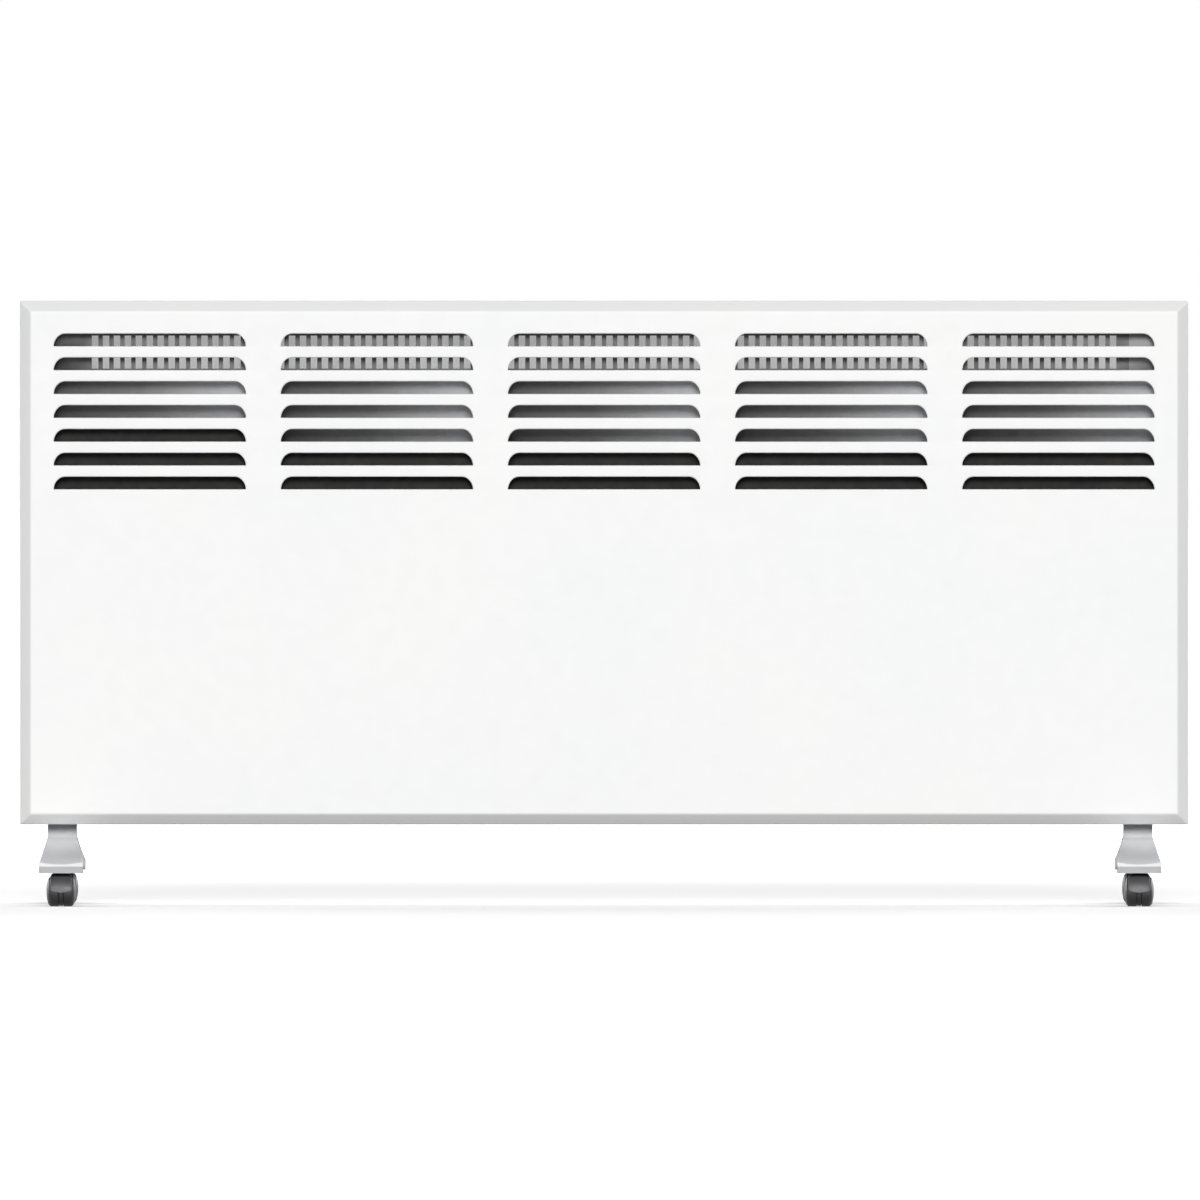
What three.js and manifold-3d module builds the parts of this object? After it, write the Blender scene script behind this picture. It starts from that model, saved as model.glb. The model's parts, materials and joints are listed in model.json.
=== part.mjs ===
// Wall panel convector heater that stands on two castor feet.
// Millimetres, +Z up, front towards -Y. The origin is on the floor, below the middle of the body.
import * as THREE from "three";
import { mergeGeometries, mergeVertices } from "three/addons/utils/BufferGeometryUtils.js";
import Module from "manifold-3d";

const wasm = await Module();
wasm.setup();

// ---- Driving dimensions ----

// Fits
const seat = 0.3; // gap between two pieces that touch
const running = 0.4; // radial gap round anything that turns

// Body
const panelWidth = 890;
const panelHeight = 399;
const floorToPanel = 61.5;
const bodyDepth = 85; // front face to flat back

// Front panel: a pressed tray with a bevelled edge and a return lip
const panelSheet = 0.8;
const panelBevel = 8;
const panelDepth = 30; // front face to the back of the lip
const lipWidth = 12;

// Outlet slots in the front panel
const slotColumns = 5;
const slotRows = 7;
const slotWidth = 146.4;
const slotHeight = 9.5;
const slotShoulder = 8.6; // length of the rounded shoulder at each end
const shoulderSteps = 3; // flats that each shoulder's curve is drawn with
const columnPitch = 173;
const rowPitch = 18.16;
const firstRowDrop = 25.1; // top of the panel to the top of the first row
const rimWidth = 0.9; // wall of the drawn edge behind each slot
const rimDepth = 1.8;

// Rear casing
const casingSheet = 0.8;
const flangeEdge = 1; // gap from the casing flange to the inside of the panel
const inletRows = 2;
const inletPitchY = 14;
const inletLength = 40;
const inletGap = 12;
const inletWidth = 3.6;
const inletSpan = 770;
const beadCount = 2;
const beadInset = 28; // element bracket to the end of a bead
const beadWidth = 14;
const beadDepth = 2;
const hookSlotWidth = 26;
const hookSlotHeight = 3.4;
const hookSlotSpacing = 520;
const hookSlotDrop = 48; // casing edge to the slot

// Air deflector: a folded plate with a comb of outlet slots
const thinSheet = 0.8;
const combSetback = 16; // panel face to the plate behind it
const combCount = 94;
const combPitch = 8.34;
const combSlot = 4.9;
const combHeight = 25.1;
const combDrop = 1.5; // top of the first slot row to the top of the comb
const deflectorRise = 5.6; // plate above the first slot row
const deflectorFlange = 12;
const deflectorFold = 5; // comb to the fold below it
const deflectorSweep = 17; // how far back the sloped part leans
const deflectorHem = 5;
const lastDeflectedRow = 5; // last slot row, from the top, that shows the deflector
const tabGap = 2.5; // end tab to the control plate's wall opening

// Air guide and heat shield
const guideGap = 4; // deflector to the front of the guide
const guideRise = 84; // height of the curved part
const guideFoot = 18; // flat part against the back
const shieldBottom = 44; // casing floor to the shield's lower edge
const shieldLip = 13;
const shieldDrop = 2.5; // deflector's hem down to the shield
const earWidth = 168; // raised left end of the shield

// Heating element
const elementEndRoom = 86.9; // side wall to the end of the element
const elementLift = 76; // casing floor to the element's centre
const elementStandoff = 27; // inside of the back to the element's centre
const hubRadius = 7;
const finLength = 27;
const finThickness = 1.8;
const finTilt = 33; // degrees from vertical
const crossFinLength = 9;
const bushingRadius = 6;
const bushingLength = 22;
const collarRadius = 9;
const collarLength = 6;
const terminalRadius = 1.8;
const terminalReach = 12;
const bracketSheet = 1.2;
const bracketHeight = 40;
const bracketFoot = 18;
const bracketCorner = 4;

// Controls on the right-hand side wall
const plateHeight = 134;
const plateWidth = 46;
const plateCorner = 7;
const plateFlange = 2.2;
const plateLift = 176; // casing floor to the plate's centre
const plugInset = 4; // flange overlap round the wall opening
const plugDepth = 5;
const knobRise = 40; // plate centre to the knob
const knobRadius = 16;
const knobSkirt = 3;
const knobCapRadius = 12;
const knobFlutes = 12;
const fluteDepth = 0.5;
const pointerWidth = 3;
const pointerRise = 1;
const knobRoof = 3; // knob face to the end of its bore
const knobEdgeGap = 0.3; // knob face to the panel's side plane
const shaftRadius = 3;
const shaftIntoBody = 8;
const thermostatSize = 28;
const thermostatDepth = 18;
const switchDrops = [3, 31]; // plate centre down to each switch
const switchHeight = 24;
const switchWidth = 15;
const bezelDepth = 1.4;
const bezelWall = 2.4;
const bezelCorner = 2;
const housingWall = 1;
const switchDepth = 17;
const rockerTilt = 8; // degrees each way from level
const rockerProud = 2.4; // rocker's ends above its pivot
const rockerHollow = 1.1; // dip of its middle
const rockerKeel = 3.2; // depth below the pivot
const pivotSink = 0.6; // bezel's face to the pivot
const rockerRoom = 1.8; // below the rocker's keel
const lensDrop = 54;
const lensRadius = 3.5;
const lensProud = 1;

// Cord gland
const glandLift = 30; // casing floor to the gland's centre
const glandRadius = 7;
const glandFlange = 9.5;
const glandBore = 3.6;
const glandReach = 9;
const glandFlangeDepth = 2.5;
const glandInside = 12;
const nutDepth = 5;

// Small inner units
const cutoutRadius = 8;
const cutoutDepth = 9;
const cutoutInset = 152; // terminal block to the cut-out
const tiltSwitchSize = [26, 20, 22];
const tiltSwitchInset = 90; // foot's centre to the tilt switch
const tiltSwitchEar = [7, 12, 3];
const terminalBlockSize = [30, 16, 15];
const terminalBlockInset = 38; // foot's centre to the block
const terminalPosts = 3;
const terminalPostRise = 4;
const leadRadius = 1.3;
const leadSides = 5;
const leadStraight = 8; // straight run out of what a lead is joined to

// Feet
const footLeftInset = 32; // panel edge to the foot's centre
const footRightInset = 38;
const footReach = 115; // centre to the front or back end
const neckWidth = 22;
const neckFrontReach = 12; // middle of the foot to the front of the neck
const neckRearReach = 30;
const neckDraft = 1;
const endPlateWidth = 33.7;
const endPlateRise = 7.6;
const endBow = 3;
const endFlat = 2;
const endEdge = 0.8; // bevel round the end of an arm
const sweepRise = 19; // end plate to the top of the sweep
const armDepth = 9;
const armBevel = 1.6;
const armDish = 1.8;
const pocketWall = 2.6;
const pocketRoof = 3;
const pocketNeckGap = 14;
const pocketStemGap = 9;
const footScrewSpacing = 24;
const footScrewRadius = 2.4;
const footScrewHead = 4.4;
const footScrewHeadDepth = 2.8;
const footScrewGrip = 7; // shank above the casing floor
const counterbore = 4;

// Panel screws
const panelScrewRadius = 1.9;
const panelScrewHead = 3.5;
const panelScrewHeadDepth = 2;
const panelScrewLength = 9;
const panelScrewSpacing = 230;

// Castors
const castorHeight = 25.1;
const castorTrail = 11;
const castorAxleInset = 18; // end of the foot to the axle
const wheelRadius = 11.4; // to the flats
const wheelSides = 16;
const wheelInner = 1.9; // middle of the castor to the wheel's inner face
const wheelOuter = 8.5;
const wheelDome = 2.7;
const treadRound = 0.6;
const hoodWidth = 17.2;
const hoodWall = 1.4;
const hoodSides = 20;
const webWidth = 3;
const webRadius = 6;
const hoodLipDip = 1.8; // how much lower the lip is in the middle
const axleRadius = 1.5;
const axleEndGap = 0.6;
const boreEndWall = 0.1; // wheel's shoulder to the end of its bore
const stemRadius = 2.5;
const stemIntoFoot = 6;
const stemIntoHood = 4;
const bossRadius = 5;
const bossDip = 4; // axle up to the lower end of the boss

// ---- Places worked out from the sizes ----

const frontY = -bodyDepth / 2;
const backY = bodyDepth / 2;
const lipY = frontY + panelDepth;
const panelTop = floorToPanel + panelHeight;
const casingHalf = panelWidth / 2 - lipWidth - seat;
const casingBottom = floorToPanel + lipWidth + seat;
const casingTop = panelTop - lipWidth - seat;
const casingFloor = casingBottom + casingSheet; // inside face
const casingInner = casingHalf - casingSheet;
const casingBack = backY - casingSheet; // inside face
const flangeY = lipY - panelSheet - seat - casingSheet; // front of the casing flange
const sideY = (lipY + backY) / 2; // middle of the side wall
const firstSlotTop = panelTop - firstRowDrop;
const plateY = frontY + combSetback; // front of the deflector and the shield
const sheetHalf = casingInner - seat; // half width of what fits between the side walls
const elementY = casingBack - elementStandoff;
const elementZ = casingFloor + elementLift;
const footUnder = castorHeight + seat;
const endPlateTop = footUnder + endPlateRise;
const sweepTop = endPlateTop + sweepRise;
const neckTop = floorToPanel - seat;
const stemReach = footReach - castorAxleInset - castorTrail;
const axleHeight = wheelRadius;
const footLeftX = -panelWidth / 2 + footLeftInset;
const footRightX = panelWidth / 2 - footRightInset;
const plateZ = casingFloor + plateLift;
const plateX = casingHalf + seat; // back of the control plate's flange
const plateFaceX = plateX + plateFlange;
const glandZ = casingFloor + glandLift;
const hubEnd = casingInner - elementEndRoom;
const bracketX = hubEnd + seat + collarLength + seat; // inner face of the element bracket
const deflectorTop = firstSlotTop + deflectorRise;
const guideTop = deflectorTop - thinSheet - seat;
const guideLow = guideTop - guideRise - guideFoot;
const beadGap = (guideLow - casingBottom) / (beadCount + 1);
const beadZs = Array.from({ length: beadCount }, (_, i) => casingBottom + (i + 1) * beadGap);

// ---- Solids ----

// The closed mesh as a solid, without the empty triangles that a revolve has on its axis.
function solid(geometry) {
  const bare = new THREE.BufferGeometry();
  bare.setAttribute("position", geometry.getAttribute("position"));
  bare.setIndex(geometry.index);
  const merged = mergeVertices(bare, 1e-4);
  const corners = merged.index.array;
  const triangles = [];
  for (let i = 0; i < corners.length; i += 3) {
    const [a, b, c] = corners.slice(i, i + 3);
    if (a !== b && b !== c && c !== a) triangles.push(a, b, c);
  }
  const vertProperties = merged.attributes.position.array;
  return new wasm.Manifold(
    new wasm.Mesh({ numProp: 3, vertProperties, triVerts: new Uint32Array(triangles) }),
  );
}

function geometryOf(made) {
  const { vertProperties, triVerts } = made.getMesh();
  const geometry = new THREE.BufferGeometry();
  geometry.setAttribute("position", new THREE.BufferAttribute(vertProperties, 3));
  geometry.setIndex(new THREE.BufferAttribute(triVerts, 1));
  geometry.computeVertexNormals();
  return geometry;
}

// Separate closed geometries as one tool for a cut or a join.
function many(geometries) {
  return solid(mergeGeometries(geometries));
}

function blockGeometry([x0, x1], [y0, y1], [z0, z1]) {
  const block = new THREE.BoxGeometry(x1 - x0, y1 - y0, z1 - z0);
  return block.translate((x0 + x1) / 2, (y0 + y1) / 2, (z0 + z1) / 2);
}

function block(x, y, z) {
  return solid(blockGeometry(x, y, z));
}

// A shape drawn in the (y, z) plane, run along X.
function alongX(shape, [x0, x1], curveSegments = 2) {
  const run = new THREE.ExtrudeGeometry(shape, { depth: x1 - x0, bevelEnabled: false, curveSegments });
  const turn = new THREE.Matrix4().makeBasis(
    new THREE.Vector3(0, 1, 0),
    new THREE.Vector3(0, 0, 1),
    new THREE.Vector3(1, 0, 0),
  );
  return run.applyMatrix4(turn).translate(x0, 0, 0);
}

// A shape drawn in the (x, z) plane, run along Y.
function alongY(shape, [y0, y1], curveSegments = 2) {
  const run = new THREE.ExtrudeGeometry(shape, { depth: y1 - y0, bevelEnabled: false, curveSegments });
  return run.rotateX(Math.PI / 2).translate(0, y1, 0);
}

// Turns what was made along Y to lie along the axis, and moves it to its centre line.
function layAlong(geometry, axis, [p, q]) {
  if (axis === "x") return geometry.rotateZ(-Math.PI / 2).translate(0, p, q);
  if (axis === "z") return geometry.rotateX(Math.PI / 2).translate(p, q, 0);
  return geometry.translate(p, 0, q);
}

function rodGeometry(axis, radius, [start, end], centre, sides = 16) {
  const flatDown = Math.PI / sides;
  const rod = new THREE.CylinderGeometry(radius, radius, end - start, sides, 1, false, flatDown);
  return layAlong(rod.translate(0, (start + end) / 2, 0), axis, centre);
}

function rod(axis, radius, span, centre, sides) {
  return solid(rodGeometry(axis, radius, span, centre, sides));
}

// A profile of [distance along the axis, radius], counter-clockwise from the far end on the axis.
function revolve(axis, profile, centre, sides) {
  const points = profile.map(([along, radius]) => new THREE.Vector2(radius, along));
  const turned = new THREE.LatheGeometry(points, sides, Math.PI / sides, 2 * Math.PI);
  return solid(layAlong(turned, axis, centre));
}

// A solid through rings of equally many [x, y, z] points, listed anticlockwise as seen from the first end.
function loft(rings) {
  const count = rings[0].length;
  const index = [];
  for (let ring = 0; ring + 1 < rings.length; ring++) {
    for (let i = 0; i < count; i++) {
      const here = ring * count + i;
      const next = ring * count + ((i + 1) % count);
      index.push(here, next + count, next, here, here + count, next + count);
    }
  }
  const last = (rings.length - 1) * count;
  for (let i = 1; i + 1 < count; i++) {
    index.push(0, i, i + 1, last, last + i + 1, last + i);
  }
  const geometry = new THREE.BufferGeometry();
  geometry.setAttribute("position", new THREE.Float32BufferAttribute(rings.flat(2), 3));
  geometry.setIndex(index);
  return solid(geometry);
}

function polygon(points) {
  return new THREE.Shape(points.map(([u, v]) => new THREE.Vector2(u, v)));
}

function rectangle([u0, u1], [v0, v1]) {
  return polygon([
    [u0, v0],
    [u1, v0],
    [u1, v1],
    [u0, v1],
  ]);
}

function roundedRectangle([u, v], width, height, corner) {
  const shape = new THREE.Shape();
  const halfU = width / 2 - corner;
  const halfV = height / 2 - corner;
  shape.absarc(u + halfU, v + halfV, corner, 0, Math.PI / 2);
  shape.absarc(u - halfU, v + halfV, corner, Math.PI / 2, Math.PI);
  shape.absarc(u - halfU, v - halfV, corner, Math.PI, 1.5 * Math.PI);
  shape.absarc(u + halfU, v - halfV, corner, 1.5 * Math.PI, 2 * Math.PI);
  return shape;
}

// The section of a folded sheet: the line is one face, and the thickness lies to its left.
function foldedSheet(line, thickness) {
  const points = line.map(([u, v]) => new THREE.Vector2(u, v));
  const normals = points.slice(1).map((point, i) => {
    const way = point.clone().sub(points[i]).normalize();
    return new THREE.Vector2(-way.y, way.x);
  });
  const far = points.map((point, i) => {
    const before = normals[Math.max(i - 1, 0)];
    const after = normals[Math.min(i, normals.length - 1)];
    const mitre = before.clone().add(after);
    return point.clone().addScaledVector(mitre, thickness / (1 + before.dot(after)));
  });
  return new THREE.Shape([...points, ...far.reverse()]);
}

const spread = (count, pitch) => Array.from({ length: count }, (_, i) => (i - (count - 1) / 2) * pitch);

// ---- Materials ----

function finish(color, roughness, metalness = 0) {
  return new THREE.MeshStandardMaterial({ color, roughness, metalness });
}

const whitePowderCoat = finish(0xf3f3f3, 0.5);
const galvanised = finish(0x77777a, 0.45, 0.8);
const brightSheet = finish(0xc9cacb, 0.4, 0.6);
const blackCoat = finish(0x232323, 0.8);
const bareAluminium = finish(0xb4b6b8, 0.4, 1);
const ceramic = finish(0xe6e0d2, 0.7);
const zincSteel = finish(0xa9acb0, 0.35, 1);
const whitePlastic = finish(0xe9eaea, 0.45);
const greyPlastic = finish(0xc6c8ca, 0.45);
const blackPlastic = finish(0x2c2b2c, 0.4);
const wheelPlastic = finish(0x3a3a3c, 0.4);
const amberLens = finish(0xd8752a, 0.2);
const leadSheath = finish(0xa8442c, 0.6);

const heater = new THREE.Group();

function place(name, made, material, group = heater) {
  const mesh = new THREE.Mesh(geometryOf(made), material);
  mesh.name = name;
  group.add(mesh);
  return mesh;
}

// ---- Front panel ----

// The tray's volume, drawn in from its outside by the inset.
function tray(inset, back) {
  const corner = inset * (Math.SQRT2 - 1);
  const ring = (shrink, y) => {
    const half = panelWidth / 2 - shrink;
    const low = floorToPanel + shrink;
    const high = panelTop - shrink;
    return [
      [-half, y, low],
      [half, y, low],
      [half, y, high],
      [-half, y, high],
    ];
  };
  return loft([
    ring(panelBevel + corner, frontY + inset),
    ring(inset, frontY + panelBevel + corner),
    ring(inset, back),
  ]);
}

// A slot with a flat lower edge and rounded shoulders, larger by the growth all round.
function slotShape(x, bottom, growth) {
  const half = slotWidth / 2 + growth;
  const shoulder = slotShoulder + growth;
  const low = bottom - growth;
  const height = slotHeight + 2 * growth;
  const right = [];
  for (let i = 0; i <= shoulderSteps; i++) {
    const turn = (i / shoulderSteps) * (Math.PI / 2);
    right.push([half - shoulder * (1 - Math.cos(turn)), low + height * Math.sin(turn)]);
  }
  const left = right.map(([across, z]) => [-across, z]).reverse();
  return polygon([...right, ...left].map(([across, z]) => [x + across, z]));
}

function allSlots(growth, span) {
  const slots = [];
  for (const x of spread(slotColumns, columnPitch)) {
    for (let row = 0; row < slotRows; row++) {
      const bottom = firstSlotTop - slotHeight - row * rowPitch;
      slots.push(alongY(slotShape(x, bottom, growth), span));
    }
  }
  return many(slots);
}

const panelScrewX = panelWidth / 2 - lipWidth / 2;
const panelScrewPlaces = spread(2, 2 * panelScrewX).flatMap((x) =>
  spread(2, panelScrewSpacing).map((rise) => [x, floorToPanel + panelHeight / 2 + rise]),
);

function panelScrewHoles() {
  const span = [flangeY - 1, lipY + 1];
  return many(panelScrewPlaces.map((at) => rodGeometry("y", panelScrewRadius + running, span, at, 8)));
}

function frontPanel() {
  const opening = block(
    [-panelWidth / 2 + lipWidth, panelWidth / 2 - lipWidth],
    [lipY - 2 * panelSheet, lipY + 1],
    [floorToPanel + lipWidth, panelTop - lipWidth],
  );
  const behind = frontY + panelSheet;
  return tray(0, lipY)
    .subtract(tray(panelSheet, lipY - panelSheet))
    .subtract(opening)
    .add(allSlots(rimWidth, [behind - panelSheet / 2, behind + rimDepth]))
    .subtract(allSlots(0, [frontY - 1, behind + rimDepth + 1]))
    .subtract(panelScrewHoles());
}

place("front_panel", frontPanel(), whitePowderCoat);
for (const [i, at] of panelScrewPlaces.entries()) {
  const headY = lipY + seat;
  const head = revolve(
    "y",
    [
      [headY + panelScrewHeadDepth, 0],
      [headY + panelScrewHeadDepth, panelScrewHead * 0.6],
      [headY + panelScrewHeadDepth / 2, panelScrewHead],
      [headY, panelScrewHead],
      [headY, panelScrewRadius],
      [headY - panelScrewLength, panelScrewRadius],
      [headY - panelScrewLength, 0],
    ].reverse(),
    at,
    8,
  );
  place(`panel_screw_${i + 1}`, head, zincSteel);
}

// ---- Rear casing ----

const footScrewYs = spread(2, footScrewSpacing).map((y) => y + (lipY + neckRearReach) / 2);

function inletSlots() {
  const pitch = inletLength + inletGap;
  const columns = Math.floor((inletSpan + inletGap) / pitch);
  const slots = [];
  for (const x of spread(columns, pitch)) {
    for (const y of spread(inletRows, inletPitchY)) {
      const acrossY = [sideY + y - inletWidth / 2, sideY + y + inletWidth / 2];
      const alongSlot = [x - inletLength / 2, x + inletLength / 2];
      slots.push(blockGeometry(alongSlot, acrossY, [casingBottom - 1, casingFloor + 1]));
    }
  }
  return many(slots);
}

function hookSlots() {
  const slots = [];
  for (const x of spread(2, hookSlotSpacing)) {
    for (const z of [casingBottom + hookSlotDrop, casingTop - hookSlotDrop]) {
      const across = [x - hookSlotWidth / 2, x + hookSlotWidth / 2];
      slots.push(blockGeometry(across, [casingBack - 1, backY + 1], [z, z + hookSlotHeight]));
    }
  }
  return many(slots);
}

// A stiffening bead pressed into the back, as a tapered bar from one depth to the other.
function bead(z, mouthY, floorY, growth) {
  const ring = (half, width, y) => [
    [-half, y, z - width],
    [half, y, z - width],
    [half, y, z + width],
    [-half, y, z + width],
  ];
  const mouth = beadWidth / 2 + growth;
  const floor = mouth - beadDepth;
  const half = bracketX - beadInset + growth;
  return loft([ring(half - beadDepth, floor, floorY), ring(half, mouth, mouthY)]);
}

function rearCasing() {
  const outside = block([-casingHalf, casingHalf], [flangeY, backY], [casingBottom, casingTop]);
  const flangeHalf = panelWidth / 2 - panelSheet - flangeEdge;
  const flangeLow = floorToPanel + panelSheet + flangeEdge;
  const flange = block(
    [-flangeHalf, flangeHalf],
    [flangeY, flangeY + casingSheet],
    [flangeLow, panelTop - panelSheet - flangeEdge],
  );
  const inside = block(
    [-casingInner, casingInner],
    [flangeY - 1, casingBack],
    [casingFloor, casingTop - casingSheet],
  );
  let casing = outside.add(flange).subtract(inside);
  for (const z of beadZs) {
    casing = casing
      .add(bead(z, casingBack + casingSheet / 2, casingBack - beadDepth, casingSheet))
      .subtract(bead(z, backY + 0.01, backY - beadDepth, 0));
  }
  const wall = [casingInner - 1, casingHalf + 1];
  const plug = roundedRectangle(
    [sideY, plateZ],
    plateWidth - 2 * plugInset,
    plateHeight - 2 * plugInset,
    plateCorner - plugInset / 2,
  );
  const footHoles = [];
  for (const x of [footLeftX, footRightX]) {
    for (const y of footScrewYs) {
      const span = [casingBottom - 1, casingFloor + 1];
      footHoles.push(rodGeometry("z", footScrewRadius + running, span, [x, y], 10));
    }
  }
  return casing
    .subtract(solid(alongX(plug, wall)))
    .subtract(rod("x", glandRadius + seat, wall, [sideY, glandZ], 14))
    .subtract(many(footHoles))
    .subtract(inletSlots())
    .subtract(hookSlots())
    .subtract(panelScrewHoles());
}

place("rear_casing", rearCasing(), whitePowderCoat);

// ---- Air deflector, air guide and heat shield ----

const combTop = firstSlotTop - combDrop;
const foldZ = combTop - combHeight - deflectorFold;
const deflectorLow = firstSlotTop - lastDeflectedRow * rowPitch + (rowPitch - slotHeight) / 2;
const shieldTop = deflectorLow - shieldDrop;
const tabBack = sideY - plateWidth / 2 + plugInset - tabGap;

// An end tab of a folded plate, flat against the side wall.
function endTabs(outline) {
  const inner = sheetHalf - thinSheet;
  const tabs = [
    [-sheetHalf, -inner],
    [inner, sheetHalf],
  ].map((span) => alongX(polygon(outline), span));
  return many(tabs);
}

function airDeflector() {
  const section = foldedSheet(
    [
      [plateY + deflectorSweep + deflectorHem, deflectorLow + deflectorHem],
      [plateY + deflectorSweep, deflectorLow],
      [plateY, foldZ],
      [plateY, deflectorTop],
      [plateY + deflectorFlange, deflectorTop],
    ].reverse(),
    thinSheet,
  );
  const within = thinSheet / 2;
  const tab = [
    [plateY + within, foldZ],
    [plateY + deflectorSweep + within, deflectorLow + thinSheet],
    [tabBack, deflectorLow + thinSheet],
    [tabBack, deflectorTop - within],
    [plateY + within, deflectorTop - within],
  ];
  const comb = spread(combCount, combPitch).map((x) =>
    blockGeometry(
      [x - combSlot / 2, x + combSlot / 2],
      [plateY - 1, plateY + 1 + thinSheet],
      [combTop - combHeight, combTop],
    ),
  );
  return solid(alongX(section, [-sheetHalf, sheetHalf]))
    .add(endTabs(tab))
    .subtract(many(comb));
}

// A curved sheet that turns the rising air forward, from the back wall to the deflector's top flange.
function airGuide() {
  const front = plateY + thinSheet + guideGap;
  const back = casingBack - seat;
  const low = guideTop - guideRise;
  const line = [[back, guideLow]];
  const steps = 8;
  for (let i = 0; i <= steps; i++) {
    const turn = (i / steps) * (Math.PI / 2);
    line.push([front + (back - front) * Math.cos(turn), low + guideRise * Math.sin(turn)]);
  }
  const half = sheetHalf - thinSheet - seat;
  return solid(alongX(foldedSheet(line, thinSheet), [-half, half]));
}

function heatShield() {
  const low = casingFloor + shieldBottom;
  const section = foldedSheet(
    [
      [plateY + shieldLip, low],
      [plateY, low],
      [plateY, shieldTop],
      [plateY + shieldLip, shieldTop],
    ].reverse(),
    thinSheet,
  );
  const within = thinSheet / 2;
  const tab = [
    [plateY + within, low + within],
    [tabBack, low + within],
    [tabBack, shieldTop - within],
    [plateY + within, shieldTop - within],
  ];
  const earTop = firstSlotTop - (lastDeflectedRow - 1) * rowPitch + (rowPitch - slotHeight) / 2;
  const acrossEar = [-sheetHalf, -sheetHalf + earWidth];
  const ear = block(acrossEar, [plateY, plateY + thinSheet], [low + 1, earTop]);
  return solid(alongX(section, [-sheetHalf, sheetHalf]))
    .add(endTabs(tab))
    .add(ear);
}

place("air_deflector", airDeflector(), galvanised);
place("air_guide", airGuide(), brightSheet);
place("heat_shield", heatShield(), blackCoat);

// ---- Heating element ----

function elementProfile() {
  const length = [-hubEnd, hubEnd];
  let profile = rod("x", hubRadius, length, [elementY, elementZ], 12);
  for (const tilt of [finTilt, -finTilt, 180 - finTilt, 180 + finTilt]) {
    const fin = alongX(rectangle([-finThickness / 2, finThickness / 2], [0, finLength]), length);
    const crossFins = [0.55, 0.82].map((share) => {
      const reach = crossFinLength * share;
      const height = [finLength * share, finLength * share + finThickness];
      return alongX(rectangle([-reach / 2, reach / 2], height), length);
    });
    for (const rib of [fin, ...crossFins]) {
      rib.rotateX(THREE.MathUtils.degToRad(tilt)).translate(0, elementY, elementZ);
      profile = profile.add(solid(rib));
    }
  }
  return profile;
}

function bushing(side) {
  const inner = hubEnd + seat;
  const ring = [
    [inner, terminalRadius + seat],
    [inner, collarRadius],
    [inner + collarLength, collarRadius],
    [inner + collarLength, bushingRadius],
    [inner + bushingLength, bushingRadius],
    [inner + bushingLength, terminalRadius + seat],
    [inner, terminalRadius + seat],
  ];
  const placed = ring.map(([along, radius]) => [side * along, radius]);
  return revolve("x", side > 0 ? placed : placed.reverse(), [elementY, elementZ], 12);
}

function terminal(side) {
  const ends = [hubEnd + seat, hubEnd + seat + bushingLength + terminalReach].map((x) => side * x);
  ends.sort((a, b) => a - b);
  return rod("x", terminalRadius, ends, [elementY, elementZ], 8);
}

function elementBracket(side) {
  const back = casingBack - seat;
  const plate = alongX(
    roundedRectangle(
      [(elementY - collarRadius + back) / 2, elementZ],
      back - elementY + collarRadius,
      bracketHeight,
      bracketCorner,
    ),
    [bracketX, bracketX + bracketSheet],
  );
  const foot = block(
    [bracketX, bracketX + bracketFoot],
    [back - bracketSheet, back],
    [elementZ - bracketHeight / 2 + bracketCorner, elementZ + bracketHeight / 2 - bracketCorner],
  );
  const through = [bracketX - 1, bracketX + bracketSheet + 1];
  const hole = rod("x", bushingRadius + seat, through, [elementY, elementZ], 12);
  const bracket = solid(plate).add(foot).subtract(hole);
  return side > 0 ? bracket : bracket.mirror([1, 0, 0]);
}

place("element_profile", elementProfile(), bareAluminium);
for (const [side, name] of [[-1, "left"], [1, "right"]]) {
  place(`element_bushing_${name}`, bushing(side), ceramic);
  place(`element_terminal_${name}`, terminal(side), zincSteel);
  place(`element_bracket_${name}`, elementBracket(side), zincSteel);
}

// ---- Controls on the right-hand side wall ----

const knobZ = plateZ + knobRise;
const switchZs = switchDrops.map((drop) => plateZ - drop);
const lensZ = plateZ - lensDrop;
const plugBackX = casingInner - plugDepth;
const bezelX = plateFaceX + seat; // back of the switch bezel
const pivotX = bezelX + bezelDepth - pivotSink;

// The switch housing's outline behind its bezel, larger by the growth all round.
function housingOutline(z, growth) {
  const width = switchWidth - 2 * (bezelWall - housingWall - growth);
  const height = switchHeight - 2 * (bezelWall - housingWall - growth);
  return roundedRectangle([sideY, z], width, height, housingWall);
}

function controlPlate() {
  const outline = roundedRectangle([sideY, plateZ], plateWidth, plateHeight, plateCorner);
  const flange = alongX(outline, [plateX, plateFaceX]);
  const inset = 2 * (plugInset + seat);
  const plug = alongX(
    roundedRectangle([sideY, plateZ], plateWidth - inset, plateHeight - inset, plateCorner - plugInset / 2),
    [plugBackX, plateX + 0.5],
  );
  const through = [plugBackX - 1, plateFaceX + 1];
  const holes = [
    rod("x", shaftRadius + running, through, [sideY, knobZ], 16),
    rod("x", lensRadius + seat, through, [sideY, lensZ], 16),
    ...switchZs.map((z) => solid(alongX(housingOutline(z, seat), through))),
  ];
  return holes.reduce((plate, hole) => plate.subtract(hole), solid(flange).add(solid(plug)));
}

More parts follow.
